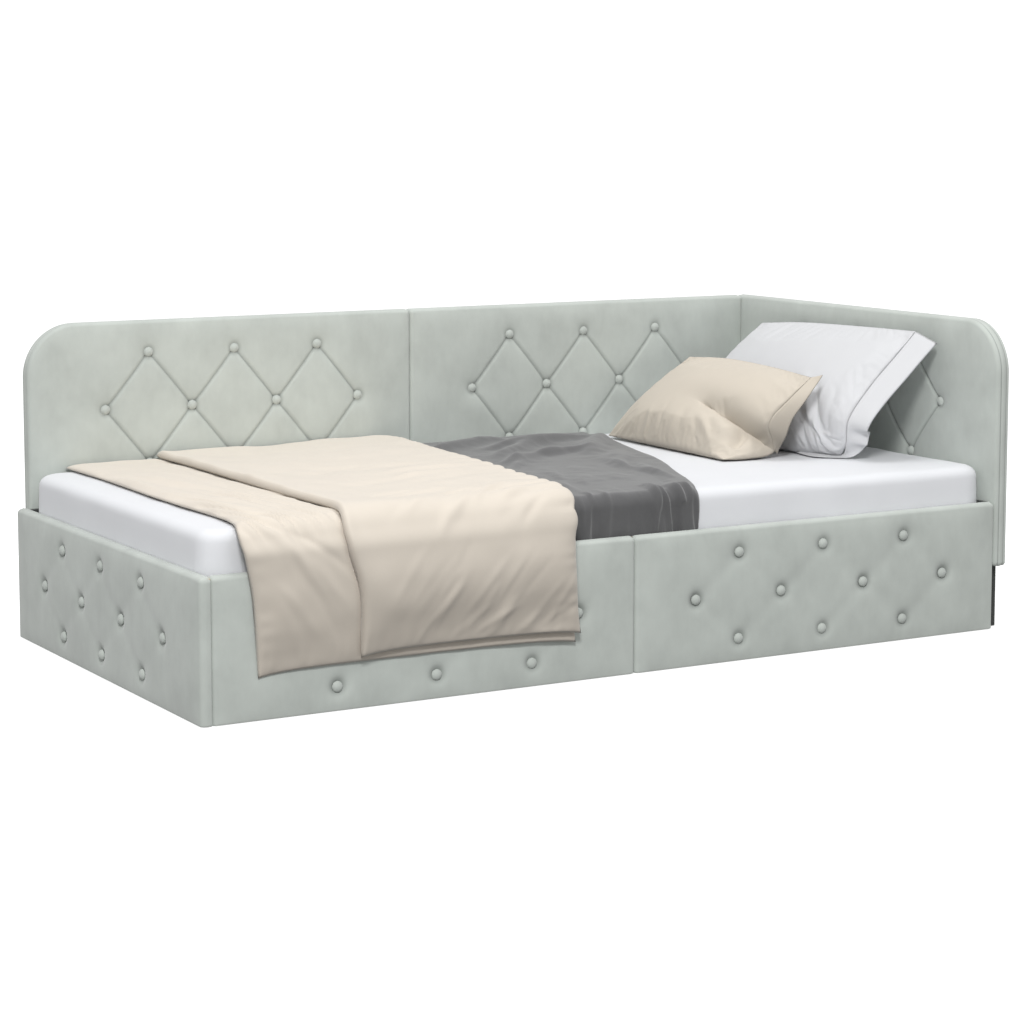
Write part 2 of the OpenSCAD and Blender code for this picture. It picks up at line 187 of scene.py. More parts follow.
def math_node(material, operation, *values):
    """One step of arithmetic on sockets or plain numbers."""
    node = material.node_tree.nodes.new("ShaderNodeMath")
    node.operation = operation
    for socket, value in zip(node.inputs, values):
        if isinstance(value, (int, float)):
            socket.default_value = value
        else:
            link(material, value, socket)
    return node.outputs["Value"]


def paint(material, shader, value, stops):
    """Colours the shader by a ramp."""
    link(material, ramp(material, value, stops), shader.inputs["Base Color"])


def bump(material, shader, layers):
    """Stacks layers into the shader's normal. Each is (height, strength, depth in metres)."""
    previous = None
    for height, strength, distance in layers:
        node = material.node_tree.nodes.new("ShaderNodeBump")
        node.inputs["Strength"].default_value = strength
        node.inputs["Distance"].default_value = distance
        link(material, height, node.inputs["Height"])
        if previous:
            link(material, previous, node.inputs["Normal"])
        previous = node.outputs["Normal"]
    link(material, previous, shader.inputs["Normal"])


def shades(colour, spread):
    """A darker, a middle and a lighter version of a colour."""
    return [tuple(c * f for c in colour) for f in (1 - spread, 1.0, 1 + spread)]


def velvet():
    """Short-pile velvet: cloudy where the pile lies another way, with a soft sheen, and with painted shade:
    darker where the mesh's fold value says, along its folds, round its buttons and in its seams."""
    material, nodes, shader = new_material("velvet", 0.78, sheen=0.35)
    place = object_place(material)
    clouds = noise_node(material, place, 9, 4, 0.55)
    strokes = noise_node(material, object_place(material, (1, 1, 0.45)), 38, 4, 0.6)
    pile = noise_node(material, place, 1500, 2)
    grey_green = (0.500, 0.535, 0.502)
    painted_crease_shade = (0.13, 0.145, 0.135)
    cloudy = math_node(material, "MULTIPLY_ADD", clouds, 0.65, 0.05)
    mixed = math_node(material, "MULTIPLY_ADD", strokes, 0.25, cloudy)
    colour = ramp(material, mixed, list(zip((0.28, 0.48, 0.72), shades(grey_green, 0.12))))
    # Painted shade: the fold attribute blends the colour towards a near-black in folds, seams and round the
    # buttons.
    fold = nodes.new("ShaderNodeAttribute")
    fold.attribute_name = "fold"
    darken = nodes.new("ShaderNodeMix")
    darken.data_type = "RGBA"
    link(material, fold.outputs["Fac"], darken.inputs["Factor"])
    link(material, colour, darken.inputs["A"])
    darken.inputs["B"].default_value = (*painted_crease_shade, 1)
    link(material, darken.outputs["Result"], shader.inputs["Base Color"])
    link(material, math_node(material, "MULTIPLY_ADD", clouds, 0.2, 0.68), shader.inputs["Roughness"])
    bump(material, shader, [(strokes, 0.10, 0.0006), (pile, 0.25, 0.0003)])
    return material


def painted_shade_where_it_hangs(material, colour, painted_hang_shade):
    """Painted shade: multiplies a colour by 1 where cloth faces up, by about 1 minus the given share where
    it hangs upright, and by less where it faces down.
    """
    nodes = material.node_tree.nodes
    split = nodes.new("ShaderNodeSeparateXYZ")
    link(material, nodes.new("ShaderNodeNewGeometry").outputs["Normal"], split.inputs["Vector"])
    share = nodes.new("ShaderNodeMapRange")
    link(material, split.outputs["Z"], share.inputs["Value"])
    for name, value in (("From Min", -0.8), ("From Max", 1.0), ("To Min", 1 - 2 * painted_hang_shade), ("To Max", 1.0)):
        share.inputs[name].default_value = value
    scaled = nodes.new("ShaderNodeVectorMath")
    scaled.operation = "SCALE"
    link(material, colour, scaled.inputs[0])
    link(material, share.outputs["Result"], scaled.inputs["Scale"])
    return scaled.outputs["Vector"]


def woven(name, colour, spread=0.03, roughness=0.85, sheen=0.15, thread=0.9 * MM, crease=0.3, painted_hang_shade=0.0):
    """Plain-weave cloth whose threads run along X and over Y and Z, with fine creasing. Spread is how much
    its tone varies; the last argument is how much painted shade darkens it where it hangs upright."""
    material, nodes, shader = new_material(name, roughness, sheen)
    place = object_place(material)
    split = nodes.new("ShaderNodeSeparateXYZ")
    link(material, place, split.inputs["Vector"])
    fall = math_node(material, "ADD", split.outputs["Y"], split.outputs["Z"])
    threads = [math_node(material, "SINE", math_node(material, "MULTIPLY", way, 2 * math.pi / thread))
               for way in (split.outputs["X"], fall)]
    weave = math_node(material, "ADD", *threads)
    soft = noise_node(material, place, 14, 4, 0.55)
    fuzz = noise_node(material, place, 420, 3, 0.6)
    fine = noise_node(material, place, 60, 5, 0.6)
    tone = ramp(material, soft, list(zip((0.25, 0.5, 0.75), shades(colour, spread))))
    # Painted shade: the colour darkens where the cloth hangs upright or faces down.
    link(material, painted_shade_where_it_hangs(material, tone, painted_hang_shade), shader.inputs["Base Color"])
    bump(material, shader, [(fine, crease, 0.0015), (fuzz, 0.18, 0.0004), (weave, 0.08, 0.00012)])
    return material


def timber(name, light, dark, grain_axis):
    """Wood with its grain along one axis."""
    material, _, shader = new_material(name, 0.55)
    scale = [14.0, 14.0, 14.0]
    scale[grain_axis] = 0.9             # Grain runs this much longer along its axis
    place = object_place(material, tuple(scale))
    rings = noise_node(material, place, 3.0, 5, 0.6)
    pores = noise_node(material, place, 26.0, 3, 0.7)
    middle = tuple((a + b) / 2 for a, b in zip(light, dark))
    paint(material, shader, rings, [(0.3, dark), (0.5, middle), (0.68, light)])
    bump(material, shader, [(rings, 0.15, 0.0008), (pores, 0.25, 0.0003)])
    return material


def chipboard():
    """Pressed board with pale and brown chips."""
    material, nodes, shader = new_material("panel_board", 0.8)
    place = object_place(material)
    chips = nodes.new("ShaderNodeTexVoronoi")
    chips.inputs["Scale"].default_value = 220
    link(material, place, chips.inputs["Vector"])
    value = nodes.new("ShaderNodeSeparateColor")
    link(material, chips.outputs["Color"], value.inputs["Color"])
    paint(material, shader, value.outputs["Red"],
          [(0.0, (0.40, 0.27, 0.15)), (0.6, (0.56, 0.41, 0.25)), (1.0, (0.68, 0.54, 0.36))])
    bump(material, shader, [(value.outputs["Green"], 0.3, 0.0004)])
    return material


def lining():
    """Grey non-woven dust cloth: pressed fibres with small dots."""
    material, nodes, shader = new_material("dust_lining", 0.9, sheen=0.1)
    place = object_place(material)
    fibres = noise_node(material, object_place(material, (1, 1, 5)), 160, 4, 0.7)
    dots = nodes.new("ShaderNodeTexVoronoi")
    dots.inputs["Scale"].default_value = 300
    link(material, place, dots.inputs["Vector"])
    paint(material, shader, fibres, [(0.3, (0.040, 0.043, 0.041)), (0.7, (0.085, 0.090, 0.086))])
    bump(material, shader, [(fibres, 0.3, 0.0005), (dots.outputs["Distance"], 0.25, 0.0004)])
    return material


def zinc_steel():
    """Zinc-plated steel with fine rolling marks."""
    material, _, shader = new_material("zinc_steel", 0.38, metallic=1.0)
    marks = noise_node(material, object_place(material, (1, 1, 30)), 60, 4, 0.6)
    cloud = noise_node(material, object_place(material), 30, 3)
    paint(material, shader, cloud, [(0.3, (0.50, 0.51, 0.53)), (0.7, (0.66, 0.67, 0.69))])
    polish = ramp(material, marks, [(0.2, (0.28,) * 3), (0.8, (0.48,) * 3)])
    link(material, polish, shader.inputs["Roughness"])
    bump(material, shader, [(marks, 0.1, 0.0002)])
    return material


def moulded_plastic():
    """Black moulded plastic with a fine grain."""
    material, _, shader = new_material("black_plastic", 0.5)
    grain = noise_node(material, object_place(material), 900, 2)
    cloud = noise_node(material, object_place(material), 40, 3)
    paint(material, shader, cloud, [(0.3, (0.012,) * 3), (0.7, (0.024,) * 3)])
    bump(material, shader, [(grain, 0.3, 0.0002)])
    return material


def webbing():
    """Black woven strap."""
    material, nodes, shader = new_material("strap_webbing", 0.8, sheen=0.1)
    ribs = nodes.new("ShaderNodeTexWave")
    ribs.bands_direction = "DIAGONAL"
    ribs.inputs["Scale"].default_value = 180
    link(material, object_place(material), ribs.inputs["Vector"])
    paint(material, shader, ribs.outputs["Fac"], [(0.1, (0.012,) * 3), (0.9, (0.05,) * 3)])
    bump(material, shader, [(ribs.outputs["Fac"], 0.5, 0.0005)])
    return material


FABRICS = {
    "velvet": velvet(),
    "sheet_cotton": woven("sheet_cotton", (0.755, 0.765, 0.79), 0.01, crease=0.06),
    "mattress_cloth": woven("mattress_cloth", (0.74, 0.74, 0.73), 0.03, thread=2 * MM),
    "throw_cloth": woven("throw_cloth", (0.102, 0.102, 0.104), 0.12, 0.92, sheen=0.45, thread=1.4 * MM),
    "duvet_cotton": woven("duvet_cotton", (0.71, 0.645, 0.56), 0.015, sheen=0.3, crease=0.16, painted_hang_shade=0.21),
    "pillow_cotton": woven("pillow_cotton", (0.64, 0.645, 0.66), 0.01, crease=0.12),
    "cushion_cotton": woven("cushion_cotton", (0.63, 0.57, 0.485), 0.02, crease=0.12, painted_hang_shade=0.24),
}
BIRCH_ACROSS = timber("birch_slats", (0.72, 0.54, 0.34), (0.58, 0.40, 0.22), 1)
BIRCH_ALONG = timber("birch_beams", (0.70, 0.52, 0.32), (0.54, 0.36, 0.20), 0)
BIRCH_UPRIGHT = timber("birch_legs", (0.70, 0.52, 0.32), (0.54, 0.36, 0.20), 2)
CAD_MATERIALS = {
    "panel_board": chipboard(),
    "lined_board": lining(),
    "slat_wood": BIRCH_ALONG,
    "steel": zinc_steel(),
    "black_plastic": moulded_plastic(),
    "strap_webbing": webbing(),
}


def dress_cad_nodes():
    """Gives each CAD node that stays in view a procedural material for its slot."""
    for part in frame["record"]["subparts"]:
        node, slot = part["node"], part["material_slot"]
        if slot not in CAD_MATERIALS:
            continue
        material = CAD_MATERIALS[slot]
        if node.startswith("slat_") and node[5:].isdigit():
            material = BIRCH_ACROSS
        if node == "centre_legs":
            material = BIRCH_UPRIGHT
        for holder in frame["nodes"][node].material_slots:
            holder.material = material


# ---- Tufted panels -------------------------------------------------------------------

BUTTON_RADIUS = 12 * MM
LINES_PER_STEP = 32   # Grid lines between neighbouring buttons
PUFF = 5.5 * MM                             # How far the padding swells out of the CAD face
BUTTON_LIFT = 3.5 * MM                      # The buttons swell out with it
LOW_DROP = 2.5 * MM                         # Low velvet hangs this much below its CAD node
TALL_DROP = 4 * MM                          # And tall velvet this much
LOW_ROLL = 11 * MM                          # Radius of a low panel's padded front edge
TALL_ROLL = 10 * MM
LOW_UNDER = 0.25                            # A low panel's bottom roll is flattened to this share
TALL_CORNER = 125 * MM                      # Radius of a tall panel's free top corner
TURN_IN = 16 * MM                           # Width of the velvet that is turned in over the back
BACK_LIFT = 0.6 * MM                        # Thickness of the velvet that lies on the back
EDGE_EASE = 24 * MM                         # The face's relief dies out over this width at its border


def lattice(node, across):
    """The ten buttons of a panel in three rows of three, four and three, as (u, v), the links between
    neighbours, half a pitch each way, and the panel's middle."""
    low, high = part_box(node)
    low, high = (low[across], low.z), (high[across], high.z)
    middle = [(a + b) / 2 for a, b in zip(low, high)]
    pitch = (high[0] - low[0] - 2 * BUTTON_RADIUS) / 3
    row = (high[1] - low[1] - 2 * BUTTON_RADIUS) / 2
    centre_row = [(middle[0] + k * pitch, middle[1]) for k in (-1.5, -0.5, 0.5, 1.5)]
    outer_rows = [(middle[0] + k * pitch, middle[1] + side * row) for side in (-1, 1) for k in (-1, 0, 1)]
    links = [(a, b) for a in outer_rows for b in centre_row if abs(a[0] - b[0]) < 0.6 * pitch]
    return centre_row + outer_rows, links, (pitch / 2, row), middle


def to_segment(u, v, a, b):
    """Distance from (u, v) to the segment a-b."""
    direction = np.subtract(b, a)
    t = np.clip(((u - a[0]) * direction[0] + (v - a[1]) * direction[1]) / (direction @ direction), 0, 1)
    return np.hypot(u - a[0] - t * direction[0], v - a[1] - t * direction[1])


def bell(distance, width):
    """1 at no distance, falling smoothly to nearly 0 at twice the width."""
    return np.exp(-(distance / width) ** 2)


def tall_tufting(u, v, buttons, links):
    """Depth and shade of the face: sharp folds from button to button, and puffed diamonds between."""
    fold = np.min([to_segment(u, v, a, b) for a, b in links], axis=0)
    button = np.min([np.hypot(u - b[0], v - b[1]) for b in buttons], axis=0)
    depth = 3.6 * MM * bell(fold, 2.6 * MM) + 2.2 * MM * np.exp(-fold / (9 * MM))
    depth += 5.0 * MM * bell(button, 16 * MM) + 3.0 * MM * bell(button, 36 * MM)
    shade = 0.42 * bell(fold, 2.4 * MM) + 0.38 * bell(button - BUTTON_RADIUS, 5 * MM)
    return depth - PUFF, shade


def low_tufting(u, v, buttons, links):
    """Depth and shade of the face: deep tight dimples, joined by faint hollows."""
    hollow = np.min([to_segment(u, v, a, b) for a, b in links], axis=0)
    button = np.min([np.hypot(u - b[0], v - b[1]) for b in buttons], axis=0)
    depth = 1.5 * MM * bell(hollow, 20 * MM)
    depth += 11.2 * MM * bell(button, 18 * MM) + 1.6 * MM * bell(button, 42 * MM)
    return depth - PUFF, 0.5 * bell(button - BUTTON_RADIUS, 8 * MM)


def edge_profile(wall, roll, seams):
    """(outwards, inwards, shade) steps over a panel's edge, from its face to its back. The tall
    panels have two seams along it."""
    back_roll = 4 * MM
    steps = [(roll * math.sin(a), roll * (1 - math.cos(a)), 0) for a in np.radians(np.arange(15, 91, 15))]
    if seams:
        steps += [(roll - 1.5 * MM, roll + 1.5 * MM, 0.6), (roll, roll + 3 * MM, 0),
                  (roll + 1.2 * MM, wall / 2 + 2 * MM, 0), (roll, wall - 9.5 * MM, 0),
                  (roll - 1.5 * MM, wall - 8 * MM, 0.6), (roll, wall - 6.5 * MM, 0)]
    else:
        steps += [(roll + 1.5 * MM, wall / 2 + 2 * MM, 0), (roll, wall - 6 * MM, 0)]
    steps += [(roll - back_roll * (1 - math.cos(a)), wall - back_roll * (1 - math.sin(a)) + BACK_LIFT, 0)
              for a in np.radians(np.arange(15, 91, 15))]
    return steps + [(-TURN_IN, wall + BACK_LIFT, 0), (-TURN_IN, wall - 2 * MM, 0)]


def aligned_lines(low, high, middle, step):
    """Grid lines from low to high that pass through the middle and through every button."""
    spacing = step / LINES_PER_STEP
    spare = 0.3                         # No line comes closer to a border than this share
    first = math.ceil((low - middle) / spacing + spare)
    last = math.floor((high - middle) / spacing - spare)
    return np.array([low] + [middle + k * spacing for k in range(first, last + 1)] + [high])


def rounded_corner(u, v, radius):
    """Bends the grid's first top corner from a square one to an arc."""
    if radius <= 0:
        return u, v
    centre_u, centre_v = u.min() + radius, v.max() - radius
    a = np.clip((centre_u - u) / radius, 0, 1)
    b = np.clip((v - centre_v) / radius, 0, 1)
    inside = (a > 0) & (b > 0)
    arc_u = centre_u - radius * a * np.sqrt(1 - b * b / 2)
    arc_v = centre_v + radius * b * np.sqrt(1 - a * a / 2)
    return np.where(inside, arc_u, u), np.where(inside, arc_v, v)


def edge_fade(u, v, radius):
    """0 on the grid's border, rising softly to 1 inside, round the corner too."""
    fade = np.ones(u.shape)
    for distance in (u - u.min(), u.max() - u, v - v.min(), v.max() - v):
        fade *= 1 - np.exp(-distance / EDGE_EASE)
    if radius > 0:
        a, b = u.min() + radius - u, v - v.max() + radius
        inward = radius - np.hypot(np.maximum(a, 0), np.maximum(b, 0))
        fade = np.where((a > 0) & (b > 0), 1 - np.exp(-np.maximum(inward, 0) / EDGE_EASE), fade)
    return fade


def rim_of(u, v, radius, under):
    """Walks round the grid's border: (grid index, outward normal, way to the turned-in edge) per step.
    The roll under the panel is flattened to the share under."""
    rows, columns = u.shape
    centre = (u.min() + radius, v.max() - radius)
    inset_low = (u.min() + TURN_IN, v.min() + TURN_IN)
    inset_high = (u.max() - TURN_IN, v.max() - TURN_IN)
    walk = [(0, j) for j in range(columns)] + [(i, columns - 1) for i in range(1, rows)]
    walk += [(rows - 1, j) for j in range(columns - 2, -1, -1)] + [(i, 0) for i in range(rows - 2, 0, -1)]
    rim = []
    for i, j in walk:
        sides = [n for hit, n in ((i == 0, (0, -under)), (j == columns - 1, (1, 0)), (i == rows - 1, (0, 1)),
                                  (j == 0, (-1, 0))) if hit]
        point = np.array([u[i, j], v[i, j]])
        inward = np.clip(point, inset_low, inset_high) - point
        if radius > 0 and point[0] < centre[0] and point[1] > centre[1]:
            normal = (point - centre) / np.linalg.norm(point - centre)
            rim.append((i * columns + j, normal, -normal * TURN_IN))
        elif len(sides) == 1:
            rim.append((i * columns + j, np.array(sides[0]), inward))
        else:
            if (i, j) == (0, 0):
                sides.reverse()
            for t in np.radians((0, 22.5, 45, 67.5, 90)):
                normal = np.array(sides[0]) * math.cos(t) + np.array(sides[1]) * math.sin(t)
                rim.append((i * columns + j, normal, inward))
    return rim


def build_panel(panel, across, tufting, roll, corner, drop, seams=False, under=1.0):
    """One upholstered panel: tufted face, rolled edges and the velvet's turned-in back edge."""
    low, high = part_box(panel + "_upholstery")
    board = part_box(panel + "_board")[1]
    inwards = 1 - across
    wall = board[inwards] - low[inwards]
    buttons, links, steps, middle = lattice(panel + "_buttons", across)
    u_lines = aligned_lines(low[across] + roll, high[across] - roll, middle[0], steps[0])
    v_lines = aligned_lines(low.z - drop + roll * under, high.z - roll, middle[1], steps[1])
    u, v = np.meshgrid(u_lines, v_lines)
    u, v = rounded_corner(u, v, corner - roll)
    fade = edge_fade(u, v, corner - roll)
    ripple = noise_over(u, v, 110 * MM, level=low[inwards])
    depth, shade = tufting(u, v, buttons, links)
    face = (depth + 1.8 * MM * ripple) * fade
    points = [np.stack([u.ravel(), v.ravel(), face.ravel()], 1)]
    shades_of = list((shade * fade).ravel())
    quads = grid_faces(*u.shape)
    deep = face.ravel()                 # Each quad is split along its deeper diagonal, so folds stay sharp
    along = deep[quads[:, 0]] + deep[quads[:, 2]] > deep[quads[:, 1]] + deep[quads[:, 3]]
    faces = [q[[0, 1, 2]] if a else q[[0, 1, 3]] for q, a in zip(quads, along)]
    faces += [q[[0, 2, 3]] if a else q[[1, 2, 3]] for q, a in zip(quads, along)]
    rim = rim_of(u, v, corner - roll, under)
    ring = [index for index, _, _ in rim]
    count = u.size
    for out, depth, dark in edge_profile(wall, roll, seams):
        shades_of += [dark] * len(rim)
        level = [[*(points[0][index, :2] + (normal * out if out > 0 else inward)), depth]
                 for index, normal, inward in rim]
        points.append(np.array(level))
        following = list(range(count, count + len(rim)))
        for k in range(len(rim)):
            m = (k + 1) % len(rim)
            corners = [ring[k], ring[m], following[m], following[k]]
            faces.append(list(dict.fromkeys(corners)))
        ring = following
        count += len(rim)
    faces.append(ring)
    flat = np.concatenate(points)
    placed = np.zeros_like(flat)
    placed[:, across], placed[:, 2], placed[:, inwards] = flat[:, 0], flat[:, 1], low[inwards] + flat[:, 2]
    piece = new_piece(panel + "_velvet", placed, faces, "bed_frame", "velvet")
    # The fold attribute is painted shade: it darkens the velvet's colour along the folds, round the buttons
    # and in the seams.
    piece.data.attributes.new("fold", "FLOAT", "POINT").data.foreach_set("value", shades_of)
    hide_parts(panel + "_upholstery")
    build_buttons(panel, across, buttons, low[inwards] - BUTTON_LIFT)


def build_buttons(panel, across, buttons, face):
    """Covered buttons: a domed cap whose cloth is gathered round the rim.
    The profile is (radius, depth) in millimetres."""
    profile = [(0.0, -1.6), (3.0, -1.3), (6.0, -0.4), (8.6, 1.0), (10.6, 2.7), (11.8, 4.7), (12.0, 6.2),
               (11.3, 7.6), (9.6, 8.6), (7.0, 9.0), (0.0, 9.0)]
    turns, pleats = 24, 8
    points, faces = [], []
    for u, v in buttons:
        first = len(points)
        for r, depth in profile:
            for k in range(turns):
                angle = 2 * math.pi * k / turns
                pleat = 1 + 0.018 * math.cos(pleats * angle) * (r > 10)
                point = [0, 0, v + r * MM * pleat * math.sin(angle)]
                point[across] = u + r * MM * pleat * math.cos(angle)
                point[1 - across] = face + depth * MM
                points.append(point)
        for a in range(len(profile) - 1):
            for k in range(turns):
                m = (k + 1) % turns
                faces.append([first + a * turns + k, first + a * turns + m,
                              first + (a + 1) * turns + m, first + (a + 1) * turns + k])
    piece = new_piece(panel + "_covered_buttons", points, faces, "bed_frame", "velvet")
    work = bmesh.new()
    work.from_mesh(piece.data)
    bmesh.ops.remove_doubles(work, verts=work.verts, dist=1e-6)
    bmesh.ops.recalc_face_normals(work, faces=work.faces)
    work.to_mesh(piece.data)
    work.free()
    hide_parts(panel + "_buttons")


def build_panels():
    """Six panels: (name, axis it runs along), and for a tall one the radius of its corner."""
    for panel, across in (("foot_panel", 1), ("front_rail_left", 0), ("front_rail_right", 0)):
        build_panel(panel, across, low_tufting, LOW_ROLL, 0, LOW_DROP, under=LOW_UNDER)
    for panel, across, corner in (("back_panel_left", 0, TALL_CORNER), ("back_panel_right", 0, 0),
                                  ("head_panel", 1, TALL_CORNER)):
        build_panel(panel, across, tall_tufting, TALL_ROLL, corner, TALL_DROP, seams=True)


# ---- Cloth simulation ----------------------------------------------------------------

SIMULATED_FRAMES = 14
LARGEST_MOVE = 8 * MM               # No point of a simulated case moves further than this


def simulate(piece, held, slack, cap):
    """Runs a cloth that is larger by slack and held at some points, keeps each point within cap of
    where it began, and applies it."""
    modifier = piece.modifiers.new("cloth", "CLOTH")
    settings = modifier.settings
    settings.quality = 5
    settings.mass = 0.25
    settings.tension_stiffness = settings.compression_stiffness = 18
    settings.shear_stiffness = 6
    settings.bending_stiffness = 0.15
    settings.effector_weights.gravity = 0
    settings.shrink_min = -slack
    settings.use_pressure = True
    settings.uniform_pressure_force = 3
    modifier.collision_settings.use_collision = False
    group = piece.vertex_groups.new(name="pin")
    for index, weight in enumerate(held):
        group.add([index], float(weight), "REPLACE")
    settings.vertex_group_mass = "pin"
    start = coordinates(piece.data)
    for number in range(1, SIMULATED_FRAMES + 1):
        scene.frame_set(number)
    shaped = piece.evaluated_get(bpy.context.evaluated_depsgraph_get())
    moved = coordinates(shaped.data) - start
    reach = np.linalg.norm(moved, axis=1, keepdims=True)
    set_coordinates(piece.data, start + moved * np.minimum(1, cap / np.maximum(reach, 1e-9)))
    piece.modifiers.remove(modifier)
    piece.vertex_groups.clear()
    scene.frame_set(1)


# ---- Creases and curves --------------------------------------------------------------

def creases(a, b, lines):
    """Height of soft creases at (a, b), each a slight curve that tapers to its ends.
    Each line is (middle, degrees, length, width, height)."""
    height = np.zeros(np.shape(a))
    for (at_a, at_b), degrees, length, width, rise in lines:
        turn = math.radians(degrees)
        along = (a - at_a) * math.cos(turn) + (b - at_b) * math.sin(turn)
        across = (b - at_b) * math.cos(turn) - (a - at_a) * math.sin(turn)
        across = across + 0.12 * along * along / length
        narrow = width * (1.15 - 0.5 * np.clip(np.abs(along) / length, 0, 1))
        height += rise * np.exp(-(across / narrow) ** 2 - (2 * along / length) ** 4)
    return height


def scattered(seed, count, middle, spread, degrees, turn, length, width, rise):
    """A family of creases about a middle, all roughly one way, with valleys between ridges."""
    draw = np.random.default_rng(seed)
    lines = []
    for _ in range(count):
        place = (middle[0] + spread[0] * draw.uniform(-1, 1), middle[1] + spread[1] * draw.uniform(-1, 1))
        size = draw.uniform(0.6, 1.4)
        way = degrees + turn * draw.uniform(-1, 1)
        breadth = width * draw.uniform(0.7, 1.3)
        height = rise * draw.uniform(0.5, 1.2) * draw.choice((-0.7, 1))
        lines.append((place, way, length * size, breadth, height))
    return lines


def curve_through(points, t):
    """A smooth curve through points, evenly timed, at each t from 0 to 1."""
    points = np.asarray(points, float)
    padded = np.concatenate([[2 * points[0] - points[1]], points, [2 * points[-1] - points[-2]]])
    place = np.clip(np.asarray(t, float), 0, 1) * (len(points) - 1)
    first = np.minimum(place.astype(int), len(points) - 2)
    f = (place - first)[..., None]
    p0, p1, p2, p3 = (padded[first + k] for k in range(4))
    return 0.5 * (2 * p1 + (p2 - p0) * f + (2 * p0 - 5 * p1 + 4 * p2 - p3) * f ** 2
                  + (3 * p1 - p0 - 3 * p2 + p3) * f ** 3)


def two_sided(name, front, back, body, slot):
    """A closed piece from two grids of points that share their border."""
    rows, columns = front.shape[:2]
    inner = np.zeros((rows, columns), int)
    inner[1:-1, 1:-1] = rows * columns + np.arange((rows - 2) * (columns - 2)).reshape(rows - 2, columns - 2)
    border = np.arange(rows * columns).reshape(rows, columns)
    index = np.where(inner > 0, inner, border).ravel()
    points = np.concatenate([front.reshape(-1, 3), back[1:-1, 1:-1].reshape(-1, 3)])
    faces = list(grid_faces(rows, columns)) + [index[q][::-1] for q in grid_faces(rows, columns)]
    return new_piece(name, points, faces, body, slot)


# ---- Mattress and fitted sheet -------------------------------------------------------

MATTRESS_CORNER = 50 * MM           # Radius of the mattress's upright corners
SLIGHT = 1.2 * MM                   # How far its sides and top swell


def ring(low, high, inset, z):
    """A rounded rectangle, inset from the box's sides."""
    radius = max(MATTRESS_CORNER - inset, 6 * MM)    # Corners stay a little round far inside too
    left, right, near, far = low.x + inset, high.x - inset, low.y + inset, high.y - inset
    points = []
    corners = [((right - radius, far - radius), 0), ((left + radius, far - radius), 90),
               ((left + radius, near + radius), 180), ((right - radius, near + radius), 270)]
    sides = [high.y - low.y, high.x - low.x] * 2
    for k, ((x, y), start) in enumerate(corners):
        for a in np.radians(np.linspace(start, start + 90, 14)):
            points.append((x + radius * math.cos(a), y + radius * math.sin(a), z))
        (x2, y2), turn = corners[(k + 1) % 4][0], math.radians(start + 90)
        off_x, off_y = radius * math.cos(turn), radius * math.sin(turn)
        stops = int(sides[(k + 1) % 4] / (30 * MM))
        for t in np.arange(1, stops) / stops:
            points.append((x + (x2 - x) * t + off_x, y + (y2 - y) * t + off_y, z))
    return points


def rings_piece(name, low, high, levels, caps, body, slot):
    """A skin through rounded rectangles at (inset, z) levels, closed where caps says."""
    rings = [ring(low, high, inset, z) for inset, z in levels]
    points = [p for level in rings for p in level]
    count = len(rings[0])
    faces = []
    for k in range(len(rings) - 1):
        for i in range(count):
            j = (i + 1) % count
            faces.append((k * count + i, k * count + j, (k + 1) * count + j, (k + 1) * count + i))
    if caps[0]:
        faces.append(tuple(range(count)))
    if caps[1]:
        faces.append(tuple(len(points) - count + i for i in range(count)))
    return new_piece(name, points, faces, body, slot)


def box_levels(low, high, bottom, top, start, end):
    """(inset, z) levels up the side of a box, from under it to over it. Its edges are rounded by
    bottom and top; start and end are the insets of the levels under and over it."""
    quarter = np.radians(np.arange(0, 91, 15))
    levels = [(inset, low) for inset in start]
    levels += [(bottom * (1 - math.sin(a)), low + bottom * (1 - math.cos(a))) for a in quarter]
    levels += [(-SLIGHT * math.sin(math.pi * t), low + bottom + (high - low - bottom - top) * t)
               for t in np.arange(1, 8) / 8]
    levels += [(top * (1 - math.cos(a)), high - top * (1 - math.sin(a))) for a in quarter]
    return levels + [(inset, high + SLIGHT) for inset in end]


